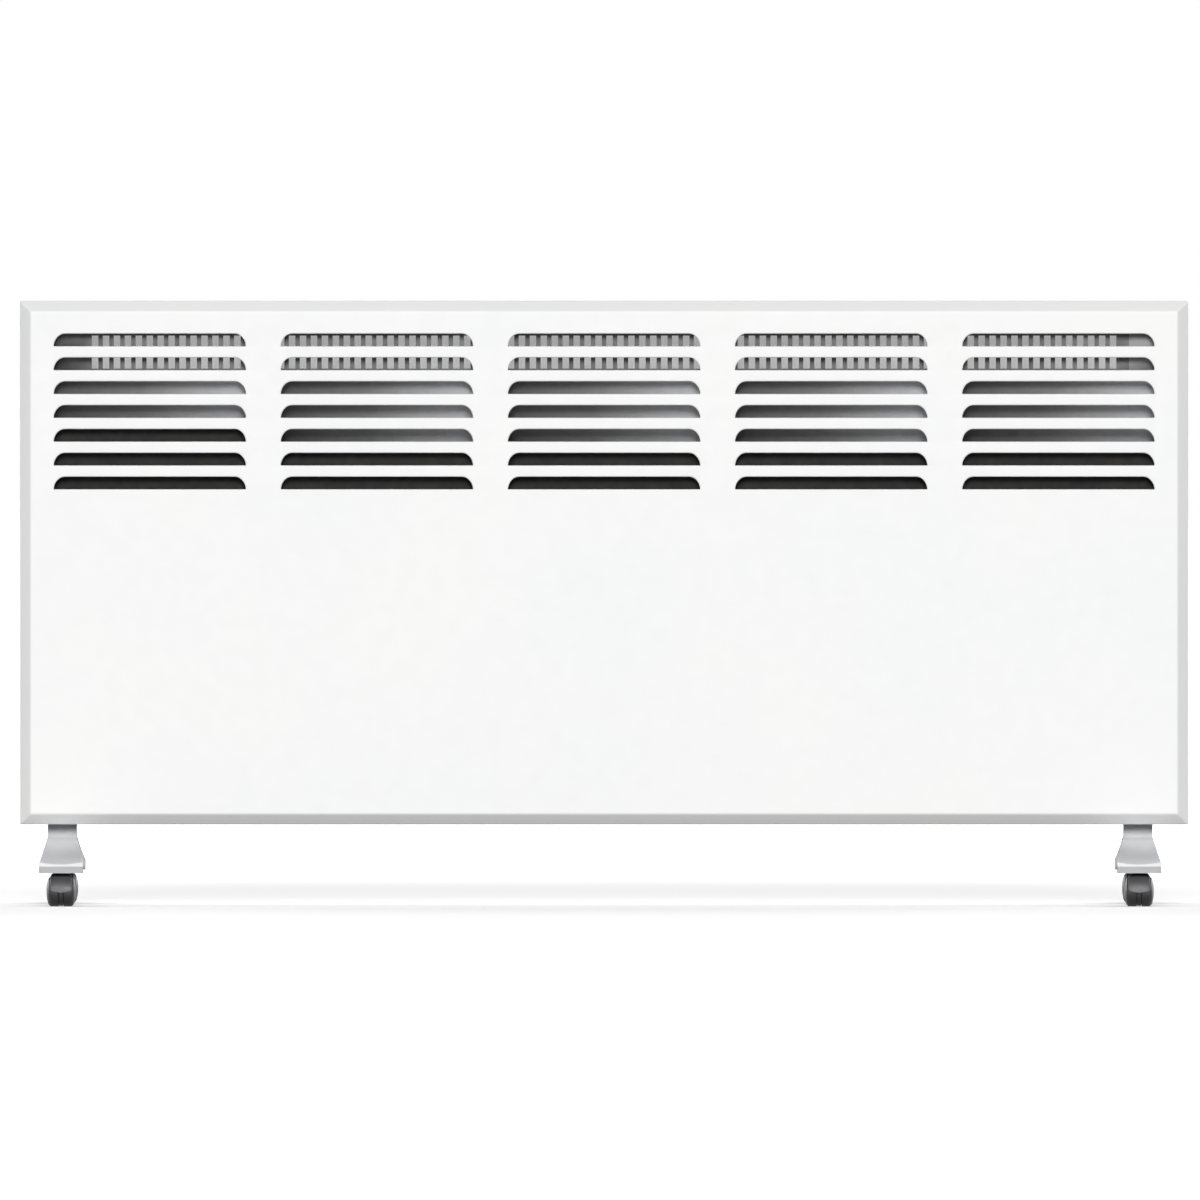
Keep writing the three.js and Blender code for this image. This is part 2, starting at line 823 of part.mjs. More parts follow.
function switchBody(z) {
  const outline = roundedRectangle([sideY, z], switchWidth, switchHeight, bezelCorner);
  const bezel = alongX(outline, [bezelX, bezelX + bezelDepth]);
  const housing = alongX(housingOutline(z, 0), [bezelX - switchDepth, bezelX + 0.5]);
  const pocket = block(
    [pivotX - rockerKeel - rockerRoom, bezelX + bezelDepth + 1],
    [sideY - switchWidth / 2 + bezelWall, sideY + switchWidth / 2 - bezelWall],
    [z - switchHeight / 2 + bezelWall, z + switchHeight / 2 - bezelWall],
  );
  return solid(bezel).add(solid(housing)).subtract(pocket);
}

// The rocker's side view, level, with its hollow key face outwards: [out, up] from the pivot.
function rocker(z) {
  const halfWidth = switchWidth / 2 - bezelWall - seat;
  const half = switchHeight / 2 - bezelWall - 2 * seat;
  const side = [
    [-rockerKeel, -half * 0.4],
    [0, -half],
    [rockerProud, -half],
    [rockerProud - rockerHollow, 0],
    [rockerProud, half],
    [0, half],
    [-rockerKeel, half * 0.4],
  ];
  const key = alongY(polygon(side), [-halfWidth, halfWidth]);
  key.rotateY(THREE.MathUtils.degToRad(-rockerTilt)).translate(pivotX, sideY, z);
  return solid(key);
}

// A fluted cap on a round skirt, with a raised pointer bar and a bore for the shaft.
function thermostatKnob() {
  const face = panelWidth / 2 - knobEdgeGap;
  const back = plateFaceX + seat;
  const skirt = rod("x", knobRadius, [back, back + knobSkirt], [sideY, knobZ], 24);
  const outline = [];
  const steps = knobFlutes * 3;
  for (let i = 0; i < steps; i++) {
    const turn = (i / steps) * 2 * Math.PI;
    const radius = knobCapRadius + fluteDepth * Math.cos(knobFlutes * turn);
    outline.push([sideY + radius * Math.cos(turn), knobZ + radius * Math.sin(turn)]);
  }
  const cap = solid(alongX(polygon(outline), [back + knobSkirt - 0.5, face - pointerRise]));
  const pointer = block(
    [face - 2 * pointerRise, face],
    [sideY - pointerWidth / 2, sideY + pointerWidth / 2],
    [knobZ, knobZ + knobCapRadius - 2 * fluteDepth],
  );
  const bore = rod("x", shaftRadius + seat, [back - 1, face - knobRoof], [sideY, knobZ], 16);
  return skirt.add(cap).add(pointer).subtract(bore);
}

const thermostatFrontX = plugBackX - seat;
const shaftSpan = [thermostatFrontX - shaftIntoBody, panelWidth / 2 - knobEdgeGap - knobRoof - seat];

function thermostatBody() {
  const width = [sideY - thermostatSize / 2, sideY + thermostatSize / 2];
  const height = [knobZ - thermostatSize / 2, knobZ + thermostatSize / 2];
  const box = block([thermostatFrontX - thermostatDepth, thermostatFrontX], width, height);
  const bore = rod("x", shaftRadius + running, [shaftSpan[0] - 1, thermostatFrontX + 1], [sideY, knobZ], 16);
  return box.subtract(bore);
}

function indicatorLens() {
  const rim = plateFaceX + lensProud;
  return revolve(
    "x",
    [
      [plugBackX, 0],
      [plugBackX, lensRadius],
      [rim, lensRadius],
      [rim + lensRadius * 0.35, lensRadius * 0.7],
      [rim + lensRadius * 0.5, 0],
    ],
    [sideY, lensZ],
    16,
  );
}

place("control_plate", controlPlate(), whitePlastic);
place("thermostat_body", thermostatBody(), ceramic);
place("thermostat_shaft", rod("x", shaftRadius, shaftSpan, [sideY, knobZ], 16), zincSteel);
place("thermostat_knob", thermostatKnob(), greyPlastic);
for (const [i, z] of switchZs.entries()) {
  place(`switch_body_${i + 1}`, switchBody(z), blackPlastic);
  place(`switch_rocker_${i + 1}`, rocker(z), blackPlastic);
}
place("indicator_lens", indicatorLens(), amberLens);

// ---- Cord gland and small inner units ----

function cordGland() {
  const face = casingHalf + seat;
  return revolve(
    "x",
    [
      [casingInner - glandInside, glandBore],
      [casingInner - glandInside, glandRadius],
      [face, glandRadius],
      [face, glandFlange],
      [face + glandFlangeDepth, glandFlange],
      [face + glandReach, glandRadius * 0.8],
      [face + glandReach, glandBore],
      [casingInner - glandInside, glandBore],
    ],
    [sideY, glandZ],
    14,
  );
}

function glandNut() {
  const span = [casingInner - seat - nutDepth, casingInner - seat];
  const hexagon = rod("x", glandRadius * 1.7, span, [sideY, glandZ], 6);
  return hexagon.subtract(rod("x", glandRadius + seat, [span[0] - 1, span[1] + 1], [sideY, glandZ], 14));
}

const blockX = footRightX - terminalBlockInset;
const blockTop = casingFloor + seat + terminalBlockSize[2];
const tiltSwitchX = footLeftX + tiltSwitchInset;

function terminalBlock() {
  const [length, width, height] = terminalBlockSize;
  const span = [blockX - length / 2, blockX + length / 2];
  const across = [sideY - width / 2, sideY + width / 2];
  const base = block(span, across, [casingFloor + seat, blockTop - terminalPostRise]);
  const pitch = length / terminalPosts;
  const posts = spread(terminalPosts, pitch).map((x) =>
    rodGeometry("z", pitch / 3, [blockTop - height / 2, blockTop], [blockX + x, sideY], 10),
  );
  return base.add(many(posts));
}

function tiltSwitch() {
  const [length, width, height] = tiltSwitchSize;
  const [earReach, earWide, earThick] = tiltSwitchEar;
  const low = casingFloor + seat;
  const body = block(
    [tiltSwitchX - length / 2, tiltSwitchX + length / 2],
    [sideY - width / 2, sideY + width / 2],
    [low + earThick / 2, low + height],
  );
  const ears = block(
    [tiltSwitchX - length / 2 - earReach, tiltSwitchX + length / 2 + earReach],
    [sideY - earWide / 2, sideY + earWide / 2],
    [low, low + earThick],
  );
  return body.add(ears);
}

const cutoutX = blockX - cutoutInset;
const cutoutZ = (beadZs[0] + beadZs[1]) / 2;

function thermalCutout() {
  const back = casingBack - seat;
  return revolve(
    "y",
    [
      [back - cutoutDepth, 0],
      [back - cutoutDepth, cutoutRadius * 0.7],
      [back - cutoutDepth * 0.6, cutoutRadius * 0.7],
      [back - cutoutDepth * 0.6, cutoutRadius],
      [back - 1.5, cutoutRadius],
      [back - 1.5, cutoutRadius * 1.35],
      [back, cutoutRadius * 1.35],
      [back, 0],
    ],
    [cutoutX, cutoutZ],
    12,
  );
}

// A lead on a smooth route through the points.
function lead(points, steps) {
  const route = new THREE.CatmullRomCurve3(points.map((point) => new THREE.Vector3(...point)));
  const section = new THREE.Shape(
    Array.from({ length: leadSides }, (_, i) => {
      const turn = (i / leadSides) * 2 * Math.PI;
      return new THREE.Vector2(leadRadius * Math.cos(turn), leadRadius * Math.sin(turn));
    }),
  );
  return solid(new THREE.ExtrudeGeometry(section, { steps, extrudePath: route, bevelEnabled: false }));
}

const switchBackX = bezelX - switchDepth;
const thermostatBackX = thermostatFrontX - thermostatDepth;
const terminalEndX = hubEnd + seat + bushingLength + terminalReach;
const leadLift = casingFloor + seat + leadRadius;

place("cord_gland", cordGland(), blackPlastic);
place("gland_nut", glandNut(), blackPlastic);
place("terminal_block", terminalBlock(), whitePlastic);
place("tilt_switch", tiltSwitch(), blackPlastic);
place("thermal_cutout", thermalCutout(), ceramic);
place(
  "switch_lead",
  lead(
    [
      [blockX, sideY, blockTop + seat],
      [blockX, sideY, blockTop + leadStraight],
      [switchBackX - 2.5 * leadStraight, sideY + leadStraight / 2, (blockTop + switchZs[1]) / 2],
      [switchBackX - 2.25 * leadStraight, sideY, switchZs[1] - 2 * leadStraight],
      [switchBackX - leadStraight, sideY, switchZs[1]],
      [switchBackX - seat, sideY, switchZs[1]],
    ],
    14,
  ),
  leadSheath,
);
place(
  "element_lead_right",
  lead(
    [
      [terminalEndX + seat, elementY, elementZ],
      [terminalEndX + leadStraight, elementY, elementZ],
      [terminalEndX + 2 * leadStraight, (elementY + sideY) / 2 - leadStraight, (elementZ + knobZ) / 2],
      [thermostatBackX - leadStraight, sideY, knobZ],
      [thermostatBackX - seat, sideY, knobZ],
    ],
    14,
  ),
  leadSheath,
);
place(
  "element_lead_left",
  lead(
    [
      [-terminalEndX - seat, elementY, elementZ],
      [-terminalEndX - leadStraight, elementY, elementZ],
      [-terminalEndX - leadStraight, casingBack - leadStraight, (leadLift + elementZ) / 2],
      [-terminalEndX + 5 * leadStraight, casingBack - leadStraight, leadLift + 2 * leadStraight],
      [0, casingBack - leadStraight, leadLift + leadStraight],
      [blockX - 11 * leadStraight, casingBack - leadStraight, leadLift + leadStraight],
      [blockX - terminalBlockSize[0] / 2 - leadStraight, sideY + 2, leadLift + leadStraight / 2],
      [blockX - terminalBlockSize[0] / 2 - seat, sideY + 2, leadLift + leadStraight / 2],
    ],
    32,
  ),
  leadSheath,
);

// ---- Feet ----

// Height of the arm's top: flat at the end plate, then a hollow sweep up to the neck.
function sweepHeight(y) {
  const reach = footReach - endFlat;
  const neckReach = y < 0 ? neckFrontReach : neckRearReach;
  const along = THREE.MathUtils.clamp((reach - Math.abs(y)) / (reach - neckReach), 0, 1);
  return endPlateTop + sweepRise * (1 - Math.sqrt(1 - along * along));
}

const armUnder = (y) => Math.max(footUnder, sweepHeight(y) - armDepth);

// One cross-section of a foot, anticlockwise as seen from the front.
function footSection(y, top, bottom, bow = 0, inset = 0) {
  const share = (sweepTop - sweepHeight(y)) / sweepRise;
  const half = (neckWidth + (endPlateWidth - neckWidth) * share) / 2 - inset;
  const flat = half - armBevel;
  const dish = armDish * share;
  const outline = [
    [-half, bottom],
    [half, bottom],
    [half, top - armBevel],
    [flat, top],
    [flat / 2, top - 0.75 * dish],
    [0, top - dish],
    [-flat / 2, top - 0.75 * dish],
    [-flat, top],
    [-half, top - armBevel],
  ];
  return outline.map(([x, z]) => [x, y + Math.sign(-y) * bow * (x / half) ** 2, z]);
}

// The sections of one arm, from its end to the neck. The end is -1 at the front and 1 at the rear.
function armSections(end) {
  const neckReach = end < 0 ? neckFrontReach : neckRearReach;
  const outer = footReach - endFlat - endBow;
  const sections = [
    footSection(end * footReach, endPlateTop - endEdge, footUnder + endEdge, endBow, endEdge),
    footSection(end * (footReach - endEdge), endPlateTop, footUnder, endBow),
  ];
  for (const share of [0, 0.25, 0.45, 0.62, 0.76, 0.87, 0.95, 1]) {
    const y = end * (outer - share * (outer - neckReach));
    sections.push(footSection(y, sweepHeight(y), armUnder(y)));
  }
  sections.push(footSection(end * (neckReach - neckDraft), neckTop, sweepTop - armDepth));
  return sections;
}

// A pocket moulded into the underside of an arm, between the neck and the castor's socket.
function armPocket(end) {
  const neckReach = end < 0 ? neckFrontReach : neckRearReach;
  const inner = neckReach + pocketNeckGap;
  const outer = stemReach - pocketStemGap;
  const sections = [0, 0.35, 0.7, 1].map((share) => {
    const y = end * (outer - share * (outer - inner));
    return footSection(y, sweepHeight(y) - pocketRoof, armUnder(y) - 1, 0, pocketWall);
  });
  return loft(end < 0 ? sections : sections.reverse());
}

function foot(x) {
  const rings = [...armSections(-1), ...armSections(1).reverse()];
  const saddle = block(
    [-neckWidth / 2, neckWidth / 2],
    [lipY + 1, neckRearReach - neckDraft],
    [neckTop - 1, casingBottom - seat],
  );
  const neckUnder = sweepTop - armDepth;
  let made = loft(rings).add(saddle).subtract(armPocket(-1)).subtract(armPocket(1));
  for (const y of footScrewYs) {
    made = made
      .subtract(rod("z", footScrewHead + running, [neckUnder - 1, neckUnder + counterbore], [0, y], 12))
      .subtract(rod("z", footScrewRadius + running, [neckUnder, casingBottom + 1], [0, y], 10));
  }
  for (const y of [-stemReach, stemReach]) {
    const socket = rod("z", stemRadius + seat, [footUnder - 1, footUnder + stemIntoFoot + seat], [0, y], 12);
    made = made.subtract(socket);
  }
  return made.translate([x, 0, 0]);
}

function footScrew(x, y) {
  const roof = sweepTop - armDepth + counterbore;
  const head = roof - seat;
  return revolve(
    "z",
    [
      [head - footScrewHeadDepth, 0],
      [head - footScrewHeadDepth, footScrewHead * 0.7],
      [head - footScrewHeadDepth * 0.5, footScrewHead],
      [head, footScrewHead],
      [head, footScrewRadius],
      [casingFloor + footScrewGrip, footScrewRadius],
      [casingFloor + footScrewGrip, 0],
    ],
    [x, y],
    10,
  );
}

for (const [name, x] of [["left", footLeftX], ["right", footRightX]]) {
  place(`foot_${name}`, foot(x), greyPlastic);
  for (const [i, y] of footScrewYs.entries()) {
    place(`foot_screw_${name}_${i + 1}`, footScrew(x, y), zincSteel);
  }
}

// ---- Castors, drawn about the swivel axis with the axle towards -Y ----

const axleAt = [-castorTrail, axleHeight];
const hoodRadius = (castorHeight - axleHeight) / Math.cos(Math.PI / hoodSides);
const wheelRoom = hoodRadius - hoodWall;

function castorHood() {
  const half = hoodWidth / 2;
  const barrel = rod("x", hoodRadius, [-half, half], axleAt, hoodSides);
  const boss = rod("z", bossRadius, [axleHeight + bossDip, castorHeight], [0, 0], 12);
  const lip = [];
  const steps = 4;
  for (let i = 0; i <= steps; i++) {
    const x = half * (1 - (2 * i) / steps);
    lip.push([x * 1.1, axleHeight + 1 - hoodLipDip * (1 - (x / half) ** 2)]);
  }
  const low = -hoodRadius;
  const level = lip[0][1];
  const below = polygon([[-2 * half, low], [2 * half, low], [2 * half, level], ...lip, [-2 * half, level]]);
  const web = rod("x", webRadius, [-webWidth / 2, webWidth / 2], axleAt, 12);
  const rooms = [
    [-half - 1, -webWidth / 2],
    [webWidth / 2, half + 1],
  ].map((span) => rodGeometry("x", wheelRoom, span, axleAt, hoodSides));
  const socket = [castorHeight - stemIntoHood - seat, castorHeight + 1];
  return barrel
    .add(boss)
    .subtract(solid(alongY(below, [-2 * hoodRadius - castorTrail, 2 * hoodRadius])))
    .add(web)
    .subtract(many(rooms))
    .subtract(rod("x", axleRadius + seat, [-webWidth, webWidth], axleAt, 10))
    .subtract(rod("z", stemRadius + running, socket, [0, 0], 12));
}

// The wheel's section from its blind bore round the tread to the domed outer face: [along, radius].
function castorWheel(side) {
  const bore = axleRadius + running;
  const corner = 1 / Math.cos(Math.PI / wheelSides);
  const section = [
    [wheelOuter - boreEndWall, 0],
    [wheelOuter - boreEndWall, bore],
    [wheelInner, bore],
    [wheelInner, wheelRadius - treadRound],
    [wheelInner + treadRound, wheelRadius],
    [wheelOuter - treadRound, wheelRadius],
    [wheelOuter, wheelRadius - treadRound],
  ];
  for (const share of [0.6, 0]) {
    const radius = (wheelRadius - treadRound) * share;
    section.push([wheelOuter + wheelDome * Math.sqrt(1 - share * share), radius]);
  }
  const profile = section.map(([along, radius]) => [side * along, radius * corner]);
  return revolve("x", side > 0 ? profile : profile.reverse(), axleAt, wheelSides);
}

function castorStem() {
  return rod("z", stemRadius, [castorHeight - stemIntoHood, footUnder + stemIntoFoot], [0, 0], 12);
}

function castorAxle() {
  const half = wheelOuter - axleEndGap;
  return rod("x", axleRadius, [-half, half], axleAt, 10);
}

const castorPlaces = [
  ["front_left", footLeftX, -1],
  ["front_right", footRightX, -1],
  ["rear_left", footLeftX, 1],
  ["rear_right", footRightX, 1],
];
for (const [name, x, end] of castorPlaces) {
  const castor = new THREE.Group();
  castor.position.set(x, end * stemReach, 0);
  castor.rotation.z = end > 0 ? Math.PI : 0;
  heater.add(castor);
  place(`castor_${name}_stem`, castorStem(), zincSteel, castor);
  place(`castor_${name}_hood`, castorHood(), blackPlastic, castor);
  place(`castor_${name}_axle`, castorAxle(), zincSteel, castor);
  place(`castor_${name}_wheel_a`, castorWheel(-1), wheelPlastic, castor);
  place(`castor_${name}_wheel_b`, castorWheel(1), wheelPlastic, castor);
}

export default heater;
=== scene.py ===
"""Looks of a wall panel convector heater that stands on two castor feet.

Metres, +Z up, front towards -Y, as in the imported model.
"""

import json
import math

import bmesh
import bpy
from mathutils import Matrix, Vector

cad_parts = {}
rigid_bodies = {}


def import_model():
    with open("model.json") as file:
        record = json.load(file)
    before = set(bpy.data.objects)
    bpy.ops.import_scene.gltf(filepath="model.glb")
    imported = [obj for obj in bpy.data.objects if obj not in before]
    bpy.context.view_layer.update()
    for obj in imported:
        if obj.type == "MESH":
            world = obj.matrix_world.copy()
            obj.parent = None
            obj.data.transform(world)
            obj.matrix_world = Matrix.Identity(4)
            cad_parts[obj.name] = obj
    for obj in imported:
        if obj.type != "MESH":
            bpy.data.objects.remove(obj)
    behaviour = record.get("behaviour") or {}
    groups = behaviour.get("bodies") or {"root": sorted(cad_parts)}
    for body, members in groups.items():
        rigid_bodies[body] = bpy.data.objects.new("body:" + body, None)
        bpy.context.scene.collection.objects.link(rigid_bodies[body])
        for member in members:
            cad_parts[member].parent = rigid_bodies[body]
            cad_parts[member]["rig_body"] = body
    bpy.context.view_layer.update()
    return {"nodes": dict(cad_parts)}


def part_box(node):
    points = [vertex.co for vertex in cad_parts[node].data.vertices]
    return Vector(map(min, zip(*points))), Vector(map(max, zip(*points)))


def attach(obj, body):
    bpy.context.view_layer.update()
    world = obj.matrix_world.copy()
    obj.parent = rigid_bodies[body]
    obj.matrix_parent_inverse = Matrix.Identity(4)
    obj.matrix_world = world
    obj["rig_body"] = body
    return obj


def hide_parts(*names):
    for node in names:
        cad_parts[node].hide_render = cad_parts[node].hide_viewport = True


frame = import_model()
nodes = frame["nodes"]
MM = 0.001

# ---- Sizes that the dressed pieces share with the frame ----

panel_low, panel_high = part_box("front_panel")
FRONT_Y = panel_low.y
LIP_Y = panel_high.y
PANEL_HALF = panel_high.x
PANEL_MIDDLE = (panel_low.z + panel_high.z) / 2
PANEL_RISE = panel_high.z - PANEL_MIDDLE
PANEL_BEVEL = 8 * MM
PANEL_SHEET = 0.8 * MM
FOLD_RADIUS = 1.1 * MM
LIP_WIDTH = 12 * MM

SLOT_COLUMNS = 5
SLOT_ROWS = 7
COLUMN_PITCH = 173 * MM
ROW_PITCH = 18.16 * MM
SLOT_WIDTH = 146.4 * MM
SLOT_HEIGHT = 9.5 * MM
SLOT_SHOULDER = 8.6 * MM
FIRST_SLOT_TOP = panel_high.z - 25.1 * MM
RIM_ROLL = 0.9 * MM  # radius of the drawn edge round each slot
RIM_DEPTH = 2.6 * MM


# ---- Building helpers ----


def finished(name, bm, finish, replaced=(), body=None, sharp=32, weighted=False):
    """The bmesh as a smooth-shaded piece in its finish, riding on the body of the node it stands for."""
    bmesh.ops.recalc_face_normals(bm, faces=bm.faces)
    mesh = bpy.data.meshes.new(name)
    bm.to_mesh(mesh)
    bm.free()
    mesh.materials.append(finish.material)
    mesh.shade_smooth()
    mesh.set_sharp_from_angle(angle=math.radians(sharp))
    piece = bpy.data.objects.new(name, mesh)
    bpy.context.scene.collection.objects.link(piece)
    if replaced:
        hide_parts(*replaced)
        body = nodes[replaced[0]]["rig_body"]
    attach(piece, body)
    if weighted:
        weigh_normals(piece)
    return piece


def weigh_normals(piece):
    weigh = piece.modifiers.new("flat faces stay flat", "WEIGHTED_NORMAL")
    weigh.keep_sharp = True
    weigh.weight = 100


def sharp_edges(bm, degrees):
    """Edges between two faces that meet at more than this angle."""
    limit = math.radians(degrees)
    return [e for e in bm.edges if len(e.link_faces) == 2 and e.calc_face_angle() > limit]


def bevel(bm, edges, width, segments=3):
    bmesh.ops.bevel(
        bm,
        geom=edges,
        offset=width,
        offset_type="OFFSET",
        affect="EDGES",
        segments=segments,
        profile=0.5,
        material=-1,
        clamp_overlap=True,
    )


def block(bm, low, high, round_edge=0.0, segments=3):
    """A box between two corners, with its edges rounded."""
    size = Vector(high) - Vector(low)
    place = Matrix.Translation((Vector(low) + Vector(high)) / 2) @ Matrix.Diagonal((*size, 1))
    verts = bmesh.ops.create_cube(bm, size=1, matrix=place)["verts"]
    if round_edge:
        edges = list(dict.fromkeys(e for v in verts for e in v.link_edges))
        bevel(bm, edges, round_edge, segments)


def net(bm, columns, rows, place):
    """Faces laid over the points that place(column, row) gives, joined wherever those meet."""
    verts = bmesh.ops.create_grid(bm, x_segments=columns, y_segments=rows, size=0.5)["verts"]
    for v in verts:
        v.co = place(round((v.co.x + 0.5) * columns), round((v.co.y + 0.5) * rows))
    bmesh.ops.remove_doubles(bm, verts=verts, dist=1e-7)


def closed(bm):
    """Fills each open end with one face."""
    bmesh.ops.holes_fill(bm, edges=[e for e in bm.edges if e.is_boundary], sides=0)


def ellipse(top, reach, high, low, steps):
    """A profile over a dome that stands out to top at the axis, from one radius down to another."""
    points = []
    for i in range(steps + 1):
        radius = high + (low - high) * i / steps
        points.append((top - reach + reach * math.sqrt(1 - (radius / high) ** 2), radius))
    return points


def spun(bm, profile, centre, axis="X", steps=64):
    """A solid of revolution: the profile is (along the axis, radius) from one end to the other."""
    turn = {"X": Vector((1, 0, 0)), "Y": Vector((0, 1, 0)), "Z": Vector((0, 0, 1))}[axis]
    out = {"X": Vector((0, 0, 1)), "Y": Vector((0, 0, 1)), "Z": Vector((0, 1, 0))}[axis]
    chain = [bm.verts.new(Vector(centre) + turn * along + out * radius) for along, radius in profile]
    edges = [bm.edges.new(pair) for pair in zip(chain, chain[1:])]
    made = bmesh.ops.spin(
        bm, geom=chain + edges, cent=centre, axis=turn, angle=2 * math.pi, steps=steps, use_merge=True
    )
    verts = chain + [g for g in made["geom_last"] if isinstance(g, bmesh.types.BMVert)]
    bmesh.ops.remove_doubles(bm, verts=bm.verts, dist=1e-7)
    return verts


def arc(centre, radius, start, end, steps):
    """Points on a round stretch of a profile, as (along, radius), between two angles in degrees."""
    points = []
    for i in range(steps + 1):
        turn = math.radians(start + (end - start) * i / steps)
        points.append((centre[0] + radius * math.cos(turn), centre[1] + radius * math.sin(turn)))
    return points


# ---- Finishes ----


def linear(level):
    """A shade from 0 to 255 as the eye sees it, as an amount of light."""
    share = level / 255
    return share / 12.92 if share <= 0.04045 else ((share + 0.055) / 1.055) ** 2.4


def colour(red, green=None, blue=None):
    shades = (red, red, red) if green is None else (red, green, blue)
    return (*[linear(shade) for shade in shades], 1)


class Finish:
    """A procedural finish, named for the record's slot it belongs to."""

    def __init__(self, slot, base, roughness, metallic=0.0):
        self.slot = slot
        self.material = bpy.data.materials.new(slot)
        self.material.use_nodes = True
        self.tree = self.material.node_tree
        self.shader = self.tree.nodes["Principled BSDF"]
        self.shader.inputs["Base Color"].default_value = base
        self.shader.inputs["Roughness"].default_value = roughness
        self.shader.inputs["Metallic"].default_value = metallic
        self.place = self.node("ShaderNodeTexCoord").outputs["Object"]

    def node(self, kind, inputs=None, **settings):
        made = self.tree.nodes.new(kind)
        for key, value in settings.items():
            setattr(made, key, value)
        for key, value in (inputs or {}).items():
            if isinstance(value, bpy.types.NodeSocket):
                self.tree.links.new(value, made.inputs[key])
            else:
                made.inputs[key].default_value = value
        return made

    def stretched(self, scale):
        return self.node("ShaderNodeMapping", {"Vector": self.place, "Scale": scale}).outputs[0]

    def noise(self, scale, detail=2.0, stretch=(1, 1, 1)):
        where = self.stretched(stretch)
        inputs = {"Vector": where, "Scale": scale, "Detail": detail}
        return self.node("ShaderNodeTexNoise", inputs).outputs[0]

    def cells(self, scale, output="Color", stretch=(1, 1, 1)):
        inputs = {"Vector": self.stretched(stretch), "Scale": scale}
        return self.node("ShaderNodeTexVoronoi", inputs).outputs[output]

    def ramp(self, factor, stops):
        made = self.node("ShaderNodeValToRGB", {"Fac": factor})
        elements = made.color_ramp.elements
        while len(elements) < len(stops):
            elements.new(1)
        for element, (position, shade) in zip(elements, stops):
            element.position = position
            element.color = shade
        return made.outputs[0]

    def spread(self, factor, low, high):
        """The middle of a noise, drawn out to the range from low to high."""
        inputs = {0: factor, 1: 0.3, 2: 0.7, 3: low, 4: high}
        return self.node("ShaderNodeMapRange", inputs).outputs[0]

    def math(self, operation, a, b=0.0):
        return self.node("ShaderNodeMath", {0: a, 1: b}, operation=operation).outputs[0]

    def times(self, a, b):
        """Two colours multiplied."""
        made = self.node("ShaderNodeMix", {0: 1.0, 6: a, 7: b}, data_type="RGBA", blend_type="MULTIPLY")
        return made.outputs[2]

    def grey(self, factor, low, high):
        """A noise as shades from low to high, as amounts of light."""
        return self.ramp(factor, [(0.3, (low, low, low, 1)), (0.7, (high, high, high, 1))])

    def paint(self, socket, name="Base Color"):
        self.tree.links.new(socket, self.shader.inputs[name])
        return self

    def bump(self, height, depth, strength=1.0):
        """Relief of about that real depth in metres."""
        last = self.shader.inputs["Normal"].links
        inputs = {"Height": height, "Distance": depth, "Strength": strength}
        if last:
            inputs["Normal"] = last[0].from_socket
        return self.paint(self.node("ShaderNodeBump", inputs).outputs[0], "Normal")


def powder_coat():
    """White powder coat on steel: a fine orange peel and hardly any change of shade."""
    finish = Finish("powder_coat", colour(244), 0.42)
    finish.shader.inputs["Specular IOR Level"].default_value = 0.4
    tone = finish.noise(6, 3)
    finish.paint(finish.ramp(tone, [(0.3, colour(242, 243, 243)), (0.7, colour(245, 245, 244))]))
    finish.paint(finish.spread(finish.noise(90, 3), 0.4, 0.48), "Roughness")
    finish.bump(finish.noise(620, 2), 0.05 * MM, 0.35)
    finish.bump(finish.noise(2600, 1), 0.012 * MM, 0.3)
    return finish


COMB_FOLD = 403.8 * MM  # height of the fold below the deflector's comb; above it the comb is painted darker, as painted shade
COMB_END = 400 * MM  # where the comb's last slot ends; past it the plain sheet is painted lighter, as part of the painted sheen


def galvanised_sheet():
    """Satin zinc-coated plate: spangle, rolling lines, a painted sheen from dark to light in each bay, and
    painted shade that darkens the comb above the fold.
    """
    finish = Finish("galvanised_sheet", colour(120), 0.42, 0.35)
    place = finish.node("ShaderNodeSeparateXYZ", {0: finish.place}).outputs
    bays = finish.math("MULTIPLY_ADD", place[0], 1 / COLUMN_PITCH)
    bays.node.inputs[2].default_value = SLOT_COLUMNS / 2
    share = finish.math("FRACT", bays)
    # painted sheen: dark to light across each bay
    painted_sheen = finish.ramp(
        share,
        [
            (0.0, colour(128)),
            (0.08, colour(92, 90, 90)),
            (0.45, colour(132)),
            (0.92, colour(204, 205, 208)),
            (1.0, colour(128)),
        ],
    )
    spangle = finish.grey(finish.cells(160), 0.96, 1.02)
    lines = finish.grey(finish.noise(500, 2, (0.04, 1, 1)), 0.95, 1.03)
    # painted shade on the comb above the fold, painted lighter past the comb's last slot as part of the
    # painted sheen
    comb = finish.ramp(share, [(0, colour(54)), (0.5, colour(60)), (0.95, colour(70)), (1, colour(62))])
    end = finish.math("GREATER_THAN", place[0], COMB_END)
    comb = finish.node("ShaderNodeMix", {0: end, 6: comb, 7: colour(104)}, data_type="RGBA").outputs[2]
    high = finish.math("GREATER_THAN", place[2], COMB_FOLD)
    painted_sheen = finish.node("ShaderNodeMix", {0: high, 6: painted_sheen, 7: comb}, data_type="RGBA").outputs[2]
    finish.paint(finish.times(finish.times(painted_sheen, spangle), lines))
    finish.paint(finish.spread(finish.noise(70, 3), 0.36, 0.5), "Roughness")
    finish.bump(finish.noise(900, 1, (0.05, 1, 1)), 0.01 * MM, 0.4)
    return finish


GUIDE_GLOW = 0.36  # stands for the light that reaches the guide through the open top


